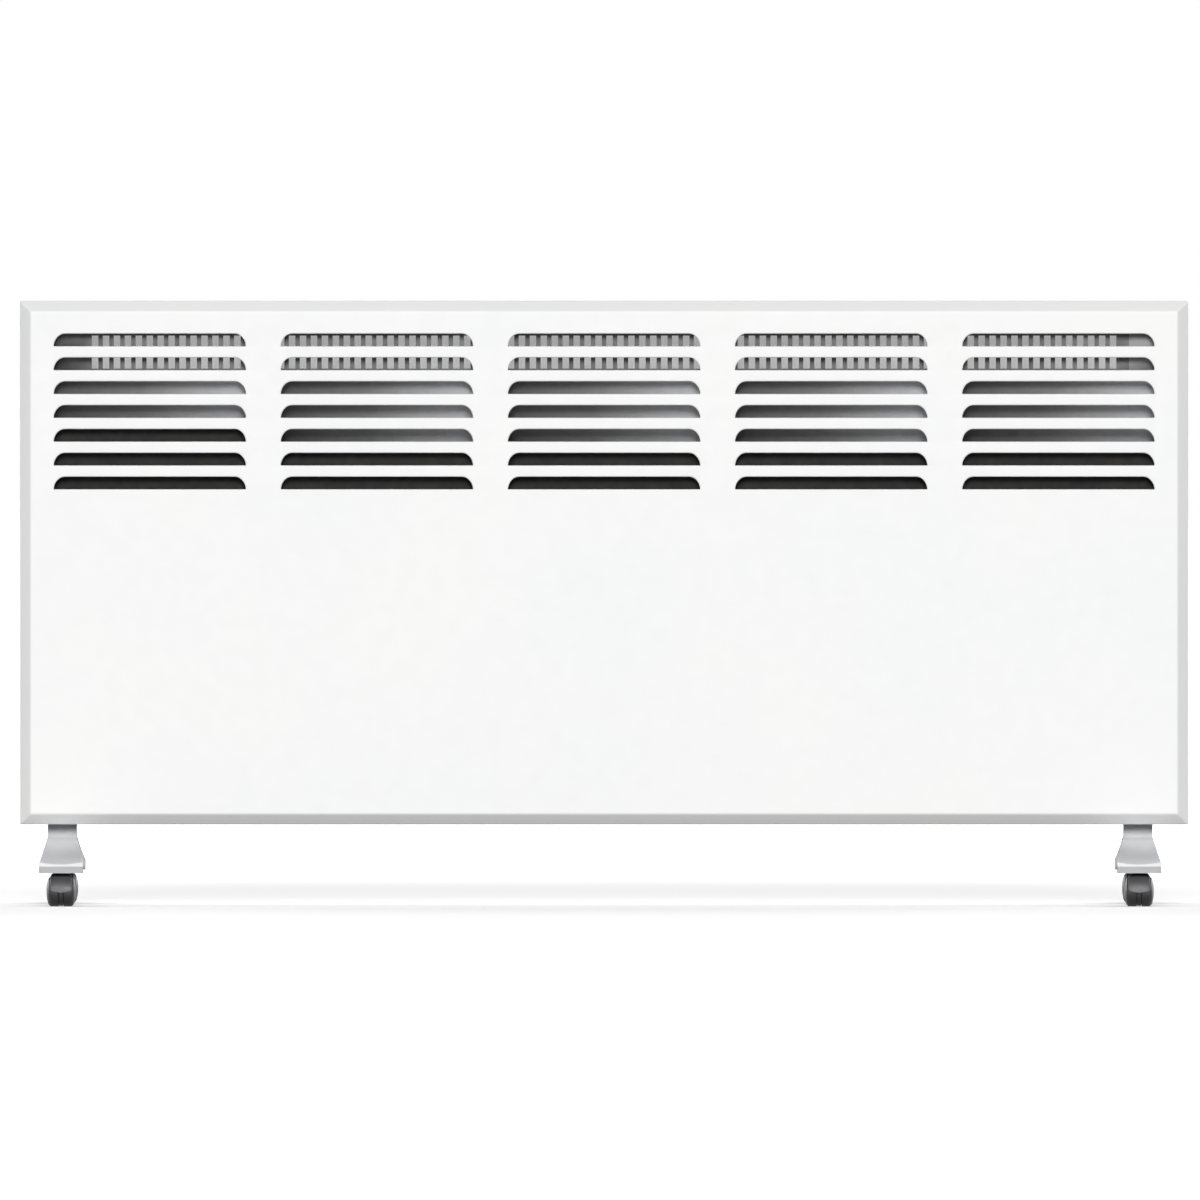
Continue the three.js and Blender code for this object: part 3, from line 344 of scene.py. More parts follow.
def bright_sheet():
    """Newer zinc-coated sheet, lighter, with a finer spangle and a painted glow on the faces that look to
    the front.
    """
    finish = Finish("bright_sheet", colour(215), 0.45, 0.1)
    tone = finish.grey(finish.cells(160), 0.9, 1.03)
    base = finish.ramp(finish.noise(30, 2), [(0.3, colour(226)), (0.7, colour(234, 235, 237))])
    finish.paint(finish.times(base, tone))
    finish.paint(finish.spread(finish.noise(120, 2), 0.4, 0.52), "Roughness")
    finish.bump(finish.noise(700, 1, (0.05, 1, 1)), 0.01 * MM, 0.3)
    # painted light: the front faces glow, standing for the light that comes through the open top
    finish.shader.inputs["Emission Color"].default_value = colour(232)
    normal = finish.node("ShaderNodeNewGeometry").outputs["Normal"]
    facing = finish.node("ShaderNodeSeparateXYZ", {0: normal}).outputs[1]
    inputs = {0: facing, 1: -0.3, 2: 0, 3: GUIDE_GLOW, 4: 0}
    return finish.paint(finish.node("ShaderNodeMapRange", inputs).outputs[0], "Emission Strength")


def black_coat():
    """Matt heat-resistant black with a little dust in it; on the heat shield its black is also painted
    shade, standing for the dark deep inside the heater.
    """
    finish = Finish("black_coat", colour(38), 0.75)
    finish.shader.inputs["Specular IOR Level"].default_value = 0.25
    dust = finish.noise(45, 5)
    finish.paint(finish.ramp(dust, [(0.35, colour(34)), (0.75, colour(43, 42, 40))]))
    finish.paint(finish.spread(finish.noise(200, 2), 0.68, 0.82), "Roughness")
    finish.bump(finish.noise(1400, 2), 0.03 * MM, 0.5)
    return finish


def element_aluminium():
    """Drawn aluminium with fine lines along its length."""
    finish = Finish("element_aluminium", colour(190), 0.4, 0.9)
    lines = finish.noise(1200, 2, (0.01, 1, 1))
    finish.paint(finish.ramp(lines, [(0.3, colour(176)), (0.7, colour(200, 201, 203))]))
    finish.paint(finish.spread(finish.noise(60, 3), 0.34, 0.5), "Roughness")
    finish.bump(lines, 0.02 * MM, 0.4)
    return finish


def ceramic():
    """Unglazed off-white ceramic with small specks."""
    finish = Finish("ceramic", colour(230, 224, 210), 0.7)
    specks = finish.noise(1500, 3)
    stops = [(0.25, colour(205, 196, 178)), (0.4, colour(230, 224, 210)), (1, colour(236, 231, 219))]
    finish.paint(finish.ramp(specks, stops))
    finish.bump(finish.noise(1800, 2), 0.03 * MM, 0.5)
    return finish


def zinc_steel():
    """Bright zinc plate with a faint cloudy tint."""
    finish = Finish("zinc_steel", colour(190), 0.35, 0.9)
    cloud = finish.noise(160, 4)
    stops = [(0.3, colour(172, 173, 178)), (0.5, colour(196, 196, 196)), (0.7, colour(204, 201, 192))]
    finish.paint(finish.ramp(cloud, stops))
    finish.paint(finish.spread(finish.noise(400, 2), 0.26, 0.42), "Roughness")
    finish.bump(finish.noise(2200, 1), 0.01 * MM, 0.4)
    return finish


def moulded(slot, low, high, roughness, grain=1500, depth=0.03, gloss=0.5):
    """A moulded plastic: slight flow marks in its shade and an even spark-eroded grain."""
    finish = Finish(slot, low, roughness)
    finish.shader.inputs["Specular IOR Level"].default_value = gloss
    finish.paint(finish.ramp(finish.noise(70, 4), [(0.3, low), (0.7, high)]))
    finish.paint(finish.spread(finish.noise(260, 2), roughness - 0.05, roughness + 0.06), "Roughness")
    finish.bump(finish.noise(grain, 3), depth * MM, 0.5)
    return finish


PAINTED_END_ALONG = (-108.5 * MM, -110 * MM)  # where the painted light of a foot's front end and the painted highlight of its lip begin and are full, along Y
PAINTED_LIP_UP = (30 * MM, 30.9 * MM)  # and up, for the lip's painted highlight
PAINTED_TOP_LIGHT = (0.2, 0.9)  # upward share of a face's normal that turns it pale, as painted light from above


def foot_plastic():
    """Grey plastic with painted light: darker on its upright faces and paler on upward ones as if lit from
    above, a front end paler than the shaded neck, and a painted highlight along the lip of its top.
    """
    finish = moulded("grey_plastic", colour(158, 159, 161), colour(164, 165, 167), 0.45, 1700, 0.02)
    place = finish.node("ShaderNodeSeparateXYZ", {0: finish.place}).outputs
    normal = finish.node("ShaderNodeNewGeometry").outputs["Normal"]
    level = finish.node("ShaderNodeSeparateXYZ", {0: normal}).outputs[2]
    base = finish.shader.inputs["Base Color"].links[0].from_socket
    for masks, shade in (
        # painted light on the front end, painted light on upward faces, and a painted highlight on the lip
        ([(place[1], PAINTED_END_ALONG)], colour(186, 187, 189)),
        ([(level, PAINTED_TOP_LIGHT)], colour(224, 225, 227)),
        ([(place[1], PAINTED_END_ALONG), (place[2], PAINTED_LIP_UP)], colour(246)),
    ):
        share = 1.0
        for socket, (low, high) in masks:
            inputs = {0: socket, 1: low, 2: high, 3: 0, 4: 1}
            share = finish.math("MULTIPLY", finish.node("ShaderNodeMapRange", inputs).outputs[0], share)
        base = finish.node("ShaderNodeMix", {0: share, 6: base, 7: shade}, data_type="RGBA").outputs[2]
    return finish.paint(base)


def amber_lens():
    """Clear amber plastic over an unlit lamp."""
    finish = Finish("amber_lens", colour(214, 112, 40), 0.16)
    stops = [(0.3, colour(196, 92, 30)), (0.7, colour(226, 130, 56))]
    finish.paint(finish.ramp(finish.noise(300, 2), stops))
    finish.shader.inputs["Transmission Weight"].default_value = 0.35
    finish.shader.inputs["Coat Weight"].default_value = 0.5
    finish.shader.inputs["Coat Roughness"].default_value = 0.08
    return finish


def lead_sheath():
    """Braided heat-proof sleeve."""
    finish = Finish("lead_sheath", colour(168, 70, 46), 0.65)
    weave = finish.cells(900, "Distance", (0.5, 1, 1))
    finish.paint(finish.ramp(weave, [(0.1, colour(186, 86, 58)), (0.7, colour(132, 48, 32))]))
    finish.bump(weave, -0.15 * MM, 0.6)
    return finish


COAT = powder_coat()
GALVANISED = galvanised_sheet()
BRIGHT = bright_sheet()
BLACK_COAT = black_coat()
ALUMINIUM = element_aluminium()
CERAMIC = ceramic()
ZINC = zinc_steel()
WHITE_PLASTIC = moulded("white_plastic", colour(232), colour(236, 236, 235), 0.42)
GREY_PLASTIC = moulded("grey_plastic", colour(204, 206, 208), colour(209, 211, 213), 0.4, 1700, 0.02)
FOOT_PLASTIC = foot_plastic()
BLACK_PLASTIC = moulded("black_plastic", colour(44, 43, 44), colour(50, 49, 50), 0.4, 1300, 0.04)
# the switches' black plastic, painted lighter on the castor hoods as painted light, since they sit in shade
# under the feet
HOOD_PLASTIC_PAINTED_LIGHT = moulded("black_plastic", colour(72, 72, 74), colour(80, 80, 82), 0.5, 1300, 0.03)
WHEEL_PLASTIC = moulded("wheel_plastic", colour(32, 31, 33), colour(38, 37, 39), 0.36, 900, 0.04)
AMBER = amber_lens()
SHEATH = lead_sheath()
MARKS = moulded("white_plastic", colour(236), colour(240), 0.5)
PRINT = moulded("black_plastic", colour(30, 31, 34), colour(36, 37, 40), 0.55)

FINISH_OF = {
    "front_panel": COAT,
    "rear_casing": COAT,
    "air_deflector": GALVANISED,
    "air_guide": BRIGHT,
    # the shield's black stands for the shade deep inside the heater, as painted shade
    "heat_shield": BLACK_COAT,
    "element_profile": ALUMINIUM,
    "element_bushing": CERAMIC,
    "thermostat_body": CERAMIC,
    "thermal_cutout": CERAMIC,
    "control_plate": WHITE_PLASTIC,
    "terminal_block": WHITE_PLASTIC,
    "thermostat_knob": GREY_PLASTIC,
    "foot_left": GREY_PLASTIC,
    "foot_right": GREY_PLASTIC,
    "switch_body": BLACK_PLASTIC,
    "switch_rocker": BLACK_PLASTIC,
    "cord_gland": BLACK_PLASTIC,
    "gland_nut": BLACK_PLASTIC,
    "tilt_switch": BLACK_PLASTIC,
    "indicator_lens": AMBER,
    "switch_lead": SHEATH,
    "element_lead": SHEATH,
}


def finish_of(name):
    """The finish of a node by its name, and bare zinc for screws, brackets and pins."""
    if "wheel" in name:
        return WHEEL_PLASTIC
    if name.endswith("hood"):
        return HOOD_PLASTIC_PAINTED_LIGHT
    for start, finish in FINISH_OF.items():
        if name.startswith(start):
            return finish
    return ZINC


# Broken edge of each CAD node that is shown as it is, in millimetres; the rest keep theirs.
BROKEN_EDGE = {
    "rear_casing": 0.25,
    "control_plate": 0.6,
    "switch_body": 0.4,
    "switch_rocker": 0.5,
    "terminal_block": 0.5,
    "thermostat_body": 0.6,
    "thermal_cutout": 0.4,
    "tilt_switch": 0.5,
    "gland_nut": 0.5,
    "element_bracket": 0.25,
    "element_bushing": 0.3,
    "panel_screw": 0.25,
    "foot_screw": 0.25,
}


FLAT_ANGLE = math.radians(2)  # facets that meet at less are one face
FOLD_ANGLE = math.radians(35)  # and at more, a fold or an edge


def soften(node, edge):
    """Joins the node's facets into smooth faces, with its edges broken by that many millimetres."""
    node.data.shade_smooth()
    weld = node.modifiers.new("one skin", "WELD")
    weld.merge_threshold = 1e-6
    if edge:
        flatten = node.modifiers.new("whole faces", "DECIMATE")
        flatten.decimate_type = "DISSOLVE"
        flatten.angle_limit = FLAT_ANGLE
        broken = node.modifiers.new("broken edges", "BEVEL")
        broken.width = edge * MM
        broken.segments = 2
        broken.limit_method = "ANGLE"
        broken.angle_limit = FOLD_ANGLE
    else:
        split = node.modifiers.new("sharp folds", "EDGE_SPLIT")
        split.split_angle = FOLD_ANGLE
    weigh_normals(node)


def dress_nodes():
    for name, node in nodes.items():
        finish = finish_of(name)
        node.data.materials.clear()
        node.data.materials.append(finish.material)
        edges = [edge for start, edge in BROKEN_EDGE.items() if name.startswith(start)]
        soften(node, edges[0] if edges else 0)


# ---- Front panel ----


def slot_master(bm):
    """One slot with its rolled edge and drawn rim, about the middle of its lower edge."""
    half = SLOT_WIDTH / 2 + RIM_ROLL
    shoulder = SLOT_SHOULDER + RIM_ROLL
    height = SLOT_HEIGHT + 2 * RIM_ROLL
    start = bm.verts.new((1, 0, 0))
    bmesh.ops.spin(bm, geom=[start], axis=(0, -1, 0), angle=math.pi / 2, steps=10)
    bmesh.ops.scale(bm, vec=(shoulder, 1, height), verts=bm.verts)
    bmesh.ops.translate(bm, vec=(half - shoulder, 0, 0), verts=bm.verts)
    bmesh.ops.mirror(bm, geom=bm.verts[:] + bm.edges[:], axis="X", merge_dist=0)
    for level in (0, height):
        bmesh.ops.contextual_create(bm, geom=[v for v in bm.verts if abs(v.co.z - level) < 1e-7])
    hole = bmesh.ops.edgeloop_fill(bm, edges=bm.edges)["faces"][0]
    if hole.normal.y > 0:
        bmesh.ops.reverse_faces(bm, faces=[hole])
    steps = 4
    for i in range(steps):
        before, after = (math.radians(90 * (i + k) / steps) for k in (0, 1))
        inset_by(bm, hole, math.sin(after) - math.sin(before), math.cos(before) - math.cos(after))
    inset_by(bm, hole, 0, (RIM_DEPTH - RIM_ROLL) / RIM_ROLL)
    bmesh.ops.delete(bm, geom=[hole], context="FACES_ONLY")


def inset_by(bm, face, inward, back):
    """Draws the face in and back, in units of the rim's radius."""
    bmesh.ops.inset_individual(
        bm, faces=[face], thickness=inward * RIM_ROLL, depth=-back * RIM_ROLL, use_even_offset=True
    )


def panel_slots(bm):
    slot_master(bm)
    master = bm.verts[:] + bm.edges[:] + bm.faces[:]
    for column in range(SLOT_COLUMNS):
        x = (column - (SLOT_COLUMNS - 1) / 2) * COLUMN_PITCH
        for row in range(SLOT_ROWS):
            z = FIRST_SLOT_TOP - SLOT_HEIGHT - row * ROW_PITCH - RIM_ROLL
            copy = bmesh.ops.duplicate(bm, geom=master)["geom"]
            verts = [g for g in copy if isinstance(g, bmesh.types.BMVert)]
            bmesh.ops.translate(bm, vec=(x, FRONT_Y, z), verts=verts)
    bmesh.ops.delete(bm, geom=[g for g in master if isinstance(g, bmesh.types.BMVert)], context="VERTS")


def panel_ring(bm, edges, shrink, y):
    """A new ring of the tray from the last one, drawn in from the outside and moved back."""
    made = bmesh.ops.extrude_edge_only(bm, edges=edges)["geom"]
    for v in (g for g in made if isinstance(g, bmesh.types.BMVert)):
        rise = math.copysign(PANEL_RISE - shrink, v.co.z - PANEL_MIDDLE)
        v.co = (math.copysign(PANEL_HALF - shrink, v.co.x), y, PANEL_MIDDLE + rise)
    return [g for g in made if isinstance(g, bmesh.types.BMEdge)]


def front_panel():
    bm = bmesh.new()
    upright = Matrix.Rotation(math.pi / 2, 4, "X")
    scale = Matrix.Diagonal((PANEL_HALF - PANEL_BEVEL, PANEL_RISE - PANEL_BEVEL, 1, 1))
    place = Matrix.Translation((0, FRONT_Y, PANEL_MIDDLE)) @ upright @ scale
    bmesh.ops.create_grid(bm, x_segments=1, y_segments=1, size=1, matrix=place)
    face = bm.faces[:][0]
    edges = face.edges[:]
    for shrink, y in [(0, FRONT_Y + PANEL_BEVEL), (0, LIP_Y), (LIP_WIDTH, LIP_Y)]:
        edges = panel_ring(bm, edges, shrink, y)
    bevel(bm, sharp_edges(bm, 20), FOLD_RADIUS, 3)
    front = max((f for f in bm.faces if abs(f.normal.y) > 0.99), key=lambda f: f.calc_area())
    outline = front.edges[:]
    bmesh.ops.delete(bm, geom=[front], context="FACES_ONLY")
    slots = bmesh.new()
    panel_slots(slots)
    spare = bpy.data.meshes.new("slots")
    slots.to_mesh(spare)
    slots.free()
    bm.from_mesh(spare)
    bpy.data.meshes.remove(spare)
    on_face = [e for e in bm.edges if all(abs(v.co.y - FRONT_Y) < 1e-6 for v in e.verts)]
    rims = [e for e in on_face if len(e.link_faces) == 1 and e not in outline]
    bmesh.ops.triangle_fill(bm, use_beauty=True, edges=outline + rims, normal=(0, -1, 0))
    panel = finished("panel_shell", bm, COAT, ["front_panel"], sharp=50)
    sheet = panel.modifiers.new("sheet", "SOLIDIFY")
    sheet.thickness = PANEL_SHEET
    sheet.offset = -1
    sheet.use_even_offset = True
    weigh_normals(panel)


# ---- Feet ----

END_PLATE_RISE = 8.5 * MM
SWEEP_RISE = 18.1 * MM
ARM_DEPTH = 9 * MM
ARM_DISH = 1.8 * MM
ARM_EDGE = 1.4 * MM
END_WIDTH = 33.7 * MM
END_FLAT = 2 * MM
END_BOW = 3 * MM
BOW_REACH = 5 * MM  # stretch over which the bowed end straightens out
NECK_WIDTH = 22 * MM
NECK_FRONT = 12 * MM
NECK_REAR = 30 * MM
NECK_STEP = 9.2 * MM  # top of the sweep to the top of the neck
NECK_DRAFT = 1 * MM  # lean of the neck's front and rear faces
SADDLE_SINK = 1.5 * MM  # how deep the block on top of the neck reaches into it
SADDLE_ROUND = 0.6 * MM
ROUNDED_FROM = 2 * MM  # neck to where the rounded edges of the arms begin
POCKET_WALL = 2.6 * MM
POCKET_ROOF = 3 * MM
POCKET_NECK_GAP = 14 * MM
POCKET_END_GAP = 38 * MM


class Foot:
    """One foot, as stations along Y from its front end to its rear end."""

    def __init__(self, name):
        low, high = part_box(name)
        self.name = name
        self.x = (low.x + high.x) / 2
        self.reach = high.y
        self.under = low.z
        self.high = high.z
        self.plate_top = self.under + END_PLATE_RISE
        self.neck_top = self.plate_top + SWEEP_RISE + NECK_STEP

    def top(self, y):
        """Height of the arm: flat at the end plate, then a hollow sweep up to the neck."""
        reach = self.reach - END_FLAT
        neck = NECK_FRONT if y < 0 else NECK_REAR
        along = min(max((reach - abs(y)) / (reach - neck), 0), 1)
        return self.plate_top + SWEEP_RISE * (1 - math.sqrt(1 - along * along))

    def arm(self, end):
        """(y, top, bow) from the end of the arm to the neck."""
        neck = NECK_FRONT if end < 0 else NECK_REAR
        rows = []
        for i in range(5):
            y = self.reach - BOW_REACH * i / 4
            rows.append((end * y, self.top(end * y), 1 - i / 4))
        start = math.asin((BOW_REACH - END_FLAT) / (self.reach - END_FLAT - neck))
        steps = 30
        for i in range(1, steps + 1):
            turn = start + (math.pi / 2 - start) * i / steps
            y = end * (self.reach - END_FLAT - (self.reach - END_FLAT - neck) * math.sin(turn))
            rows.append((y, self.top(y), 0))
        rows.append((end * (neck - NECK_DRAFT), self.neck_top, 0))
        return rows

    def ring(self, y, top, bow):
        """Points round one station, from the lower left corner, as seen from the front."""
        level = self.top(y)
        share = (self.plate_top + SWEEP_RISE - level) / SWEEP_RISE
        half = (NECK_WIDTH + (END_WIDTH - NECK_WIDTH) * share) / 2
        under = max(self.under, level - ARM_DEPTH)
        outline = [(-half, under), (POCKET_WALL - half, under), (half - POCKET_WALL, under), (half, under)]
        steps = 16
        for i in range(steps + 1):
            across = 1 - 2 * i / steps
            outline.append((half * across, top - ARM_DISH * share * (1 - across * across)))
        outline.append(outline[0])
        way = math.copysign(END_BOW * bow, -y)
        return [Vector((self.x + x, y + way * (x / half) ** 2, z)) for x, z in outline]

    def pocket(self, bm):
        """Sinks the underside between the neck and the castor's socket."""
        outer = self.reach - POCKET_END_GAP
        sunk = []
        for f in bm.faces:
            middle = f.calc_center_median()
            neck = NECK_FRONT if middle.y < 0 else NECK_REAR
            inside = neck + POCKET_NECK_GAP < abs(middle.y) < outer
            if f.normal.z < -0.3 and inside and abs(middle.x - self.x) < END_WIDTH / 2 - 2 * POCKET_WALL:
                sunk.append(f)
        made = bmesh.ops.extrude_face_region(bm, geom=sunk)["geom"]
        for v in (g for g in made if isinstance(g, bmesh.types.BMVert)):
            v.co.z = self.top(v.co.y) - POCKET_ROOF - ARM_DISH
        bmesh.ops.delete(bm, geom=sunk, context="FACES_ONLY")

    def build(self):
        bm = bmesh.new()
        rows = [self.ring(*row) for row in self.arm(-1) + self.arm(1)[::-1]]
        net(bm, len(rows[0]) - 1, len(rows) - 1, lambda column, row: rows[row][column])
        closed(bm)
        bmesh.ops.recalc_face_normals(bm, faces=bm.faces)
        reach = NECK_REAR + ROUNDED_FROM
        outside = [e for e in sharp_edges(bm, 35) if all(abs(v.co.y) > reach for v in e.verts)]
        bevel(bm, outside, ARM_EDGE, 4)
        bm.normal_update()
        self.pocket(bm)
        half = NECK_WIDTH / 2
        low = (self.x - half, NECK_DRAFT - NECK_FRONT, self.neck_top - SADDLE_SINK)
        block(bm, low, (self.x + half, NECK_REAR - NECK_DRAFT, self.high), SADDLE_ROUND)
        finished(f"{self.name}_moulding", bm, FOOT_PLASTIC, [self.name], sharp=40, weighted=True)


# ---- Castors ----

HOOD_HALF = 8.6 * MM
HOOD_WALL = 1.4 * MM
HOOD_CROWN = 0.35 * MM
HOOD_CORNER = 1.3 * MM
HOOD_TAPER = 0.12  # how much narrower the hood is on top than at its lip
HOOD_LIP_RISE = 1 * MM
HOOD_LIP_DIP = 1.8 * MM
HOOD_LIP_REACH = 5 * MM
HOOD_EDGE = 0.3 * MM
BOSS_LIFT = 4 * MM  # axle to the underside of the boss round the stem
BOSS_RADIUS = 5 * MM
BOSS_CHAMFER = 0.5 * MM
WEB_HALF = 1.5 * MM
WEB_RADIUS = 11 * MM
WEB_CHAMFER = 0.3 * MM
WHEEL_INNER = 1.9 * MM
WHEEL_GAP = 0.1 * MM  # wheel to the disc of the web
WHEEL_SHOULDER = 8.5 * MM
WHEEL_DOME = 2.7 * MM
TREAD_ROUND = 0.6 * MM
BORE_RADIUS = 1.9 * MM
BORE_ROOF = 0.1 * MM  # end of the blind bore to the wheel's shoulder
GROOVE = (6.6 * MM, 7.4 * MM)  # the groove round the dome, between two radii
GROOVE_DEPTH = 0.35 * MM


def hood_section(outer):
    """The hood's wall from side to side, as (across, radius), round once."""
    corner = HOOD_CORNER
    right = arc((HOOD_HALF - corner, outer - HOOD_CROWN - corner), corner, 0, 80, 5)
    left = [(-x, radius) for x, radius in reversed(right)]
    edge = right[-1][0]
    crown = [(edge * t, outer - HOOD_CROWN * t * t) for t in (0.75, 0.5, 0.25, 0, -0.25, -0.5, -0.75)]
    inner = outer - HOOD_WALL
    loop = [(WEB_HALF, inner), (HOOD_HALF, inner), *right, *crown, *left, (-HOOD_HALF, inner)]
    return [*loop, (-WEB_HALF, inner), loop[0]]


def castor(place):
    """The hood and both wheels of one castor, drawn about its swivel axis with the axle in front."""
    stem_low, stem_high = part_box(f"castor_{place}_stem")
    axle_low, axle_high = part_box(f"castor_{place}_axle")
    hood = f"castor_{place}_hood"
    swivel = Vector(((stem_low.x + stem_high.x) / 2, (stem_low.y + stem_high.y) / 2, 0))
    axle = (axle_low + axle_high) / 2
    way = math.copysign(1, axle.y - swivel.y)
    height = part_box(hood)[1].z
    outer = height - axle.z
    section = hood_section(outer)
    turns = 44

    def wall(column, row):
        across, radius = section[column]
        turn = math.pi * row / turns
        z = radius * math.sin(turn)
        narrow = 1 - HOOD_TAPER * math.sin(turn) ** 3
        bow = HOOD_LIP_RISE - HOOD_LIP_DIP * (1 - (across / HOOD_HALF) ** 2)
        z += bow * max(0, 1 - z / HOOD_LIP_REACH)
        return axle + Vector((across * narrow, way * radius * math.cos(turn), z))

    def web(column, row):
        turn = math.pi * row / turns
        radius = outer - HOOD_WALL / 2 if column in (1, 2) else 0
        across = WEB_HALF if column < 2 else -WEB_HALF
        z = radius * math.sin(turn)
        z += (HOOD_LIP_RISE - HOOD_LIP_DIP) * max(0, 1 - z / HOOD_LIP_REACH)
        return axle + Vector((across, way * radius * math.cos(turn), z))

    bm = bmesh.new()
    net(bm, len(section) - 1, turns, wall)
    closed(bm)
    bevel(bm, sharp_edges(bm, 60), HOOD_EDGE, 2)
    net(bm, 3, turns, web)
    low = axle.z + BOSS_LIFT
    boss = [(low, 0), (low, BOSS_RADIUS - BOSS_CHAMFER), (low + BOSS_CHAMFER, BOSS_RADIUS)]
    spun(bm, [*boss, (height, BOSS_RADIUS), (height, 0)], swivel, "Z", 48)
    finished(f"{hood}_moulding", bm, HOOD_PLASTIC_PAINTED_LIGHT, [hood], sharp=40, weighted=True)
    disc = bmesh.new()
    half = WHEEL_INNER - WHEEL_GAP
    side = [(-half, 0), (-half, WEB_RADIUS - WEB_CHAMFER), (WEB_CHAMFER - half, WEB_RADIUS)]
    spun(disc, [*side, *[(-x, radius) for x, radius in reversed(side)]], axle, steps=80)
    finished(f"castor_{place}_web", disc, WHEEL_PLASTIC, body=nodes[hood]["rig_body"])
    for letter in "ab":
        wheel(f"castor_{place}_wheel_{letter}", swivel, axle)


def wheel(name, swivel, axle):
    low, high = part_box(name)
    side = math.copysign(1, (low.x + high.x) / 2 - swivel.x)
    tread = axle.z
    shoulder = tread - TREAD_ROUND
    bore_end = WHEEL_SHOULDER - BORE_ROOF
    inner = [(bore_end, 0), (bore_end, BORE_RADIUS), (WHEEL_INNER, BORE_RADIUS)]
    rim_in = arc((WHEEL_INNER + TREAD_ROUND, shoulder), TREAD_ROUND, 180, 90, 5)
    rim_out = arc((WHEEL_SHOULDER - TREAD_ROUND, shoulder), TREAD_ROUND, 90, 0, 5)
    dome = ellipse(WHEEL_SHOULDER + WHEEL_DOME, WHEEL_DOME, shoulder, 0, 44)
    face = [(x - (GROOVE_DEPTH if GROOVE[0] < radius < GROOVE[1] else 0), radius) for x, radius in dome[1:]]
    bm = bmesh.new()
    profile = [(side * x, radius) for x, radius in [*inner, *rim_in, *rim_out, *face]]
    spun(bm, profile, (swivel.x, axle.y, axle.z), steps=80)
    finished(f"{name}_moulding", bm, WHEEL_PLASTIC, [name], sharp=50)


# ---- Controls on the right-hand side ----

OUTWARDS = Matrix(((0, 0, 1), (1, 0, 0), (0, 1, 0))).to_4x4()  # turns writing to face +X
MARK_DEPTH = 0.08 * MM

KNOB_FLUTES = 12
FLUTE_DEPTH = 0.5 * MM
FLUTE_STEPS = 12  # points round each flute
SKIRT_DEPTH = 3 * MM
SKIRT_ROUND = 0.8 * MM
SKIRT_CHAMFER = 0.3 * MM
CAP_RADIUS = 12 * MM
CAP_LAP = 2 * MM  # how far the skirt's front reaches in under the cap
CAP_SINK = 0.2 * MM  # how deep the cap is let into it
CAP_DRAFT = 0.25 * MM
CAP_ROUND = 1.2 * MM
CAP_DISH = 0.3 * MM
POINTER_HALF = 1.5 * MM
POINTER_RISE = 1 * MM
POINTER_TAIL = 3 * MM  # how far it reaches past the knob's centre
POINTER_INSET = 1 * MM  # cap's edge to the pointer's tip
POINTER_ROUND = 0.5 * MM
LINE_HALF = 0.45 * MM
LINE_START = 2 * MM  # knob's centre to the pointer's line
LINE_SINK = 0.05 * MM
LINE_EDGE = 0.03 * MM


def knob():
    low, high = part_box("thermostat_knob")
    centre = Vector((0, (low.y + high.y) / 2, (low.z + high.z) / 2))
    radius = (high.z - low.z) / 2
    face = high.x - POINTER_RISE
    front = low.x + SKIRT_DEPTH
    bm = bmesh.new()
    edge = arc((front - SKIRT_ROUND, radius - SKIRT_ROUND), SKIRT_ROUND, 90, 0, 5)
    skirt = [(low.x, 0), (low.x, radius - SKIRT_CHAMFER), (low.x + SKIRT_CHAMFER, radius), *edge]
    spun(bm, [*skirt, (front, CAP_RADIUS - CAP_LAP)], centre, steps=120)
    around = KNOB_FLUTES * FLUTE_STEPS
    shoulder = face - CAP_ROUND
    rows = [(front - CAP_SINK, 0), (shoulder, CAP_DRAFT)]
    for degrees in (20, 40, 60, 75, 90):
        turn = math.radians(degrees)
        inward = CAP_DRAFT + CAP_ROUND * (1 - math.cos(turn))
        rows.append((shoulder + CAP_ROUND * math.sin(turn), inward))
    rows += [(face - CAP_DISH * 5 / 6, CAP_RADIUS * 0.45), (face - CAP_DISH, CAP_RADIUS)]

    def cap(column, row):
        turn = 2 * math.pi * column / around
        along, inward = rows[row]
        share = max(0, 1 - inward / CAP_RADIUS)
        out = (CAP_RADIUS - inward) + FLUTE_DEPTH * math.cos(KNOB_FLUTES * turn) * min(1, 1.3 * share)
        out *= 0 if row == len(rows) - 1 else 1
        return centre + Vector((along, out * math.cos(turn), out * math.sin(turn)))

    net(bm, around, len(rows) - 1, cap)
    tip = centre.z + CAP_RADIUS - POINTER_INSET
    foot = (face - POINTER_RISE, centre.y - POINTER_HALF, centre.z - POINTER_TAIL)
    block(bm, foot, (high.x, centre.y + POINTER_HALF, tip), POINTER_ROUND)
    finished("thermostat_knob_moulding", bm, GREY_PLASTIC, ["thermostat_knob"], sharp=45, weighted=True)
    line = bmesh.new()
    start = (high.x - LINE_SINK, centre.y - LINE_HALF, centre.z + LINE_START)
    end = (high.x + MARK_DEPTH, centre.y + LINE_HALF, tip - POINTER_INSET)
    block(line, start, end, LINE_EDGE, 1)
    finished("knob_line", line, MARKS, body="thermostat_dial")
    return centre


LETTER_SHARE = 0.7  # height of a letter as a share of the font's size


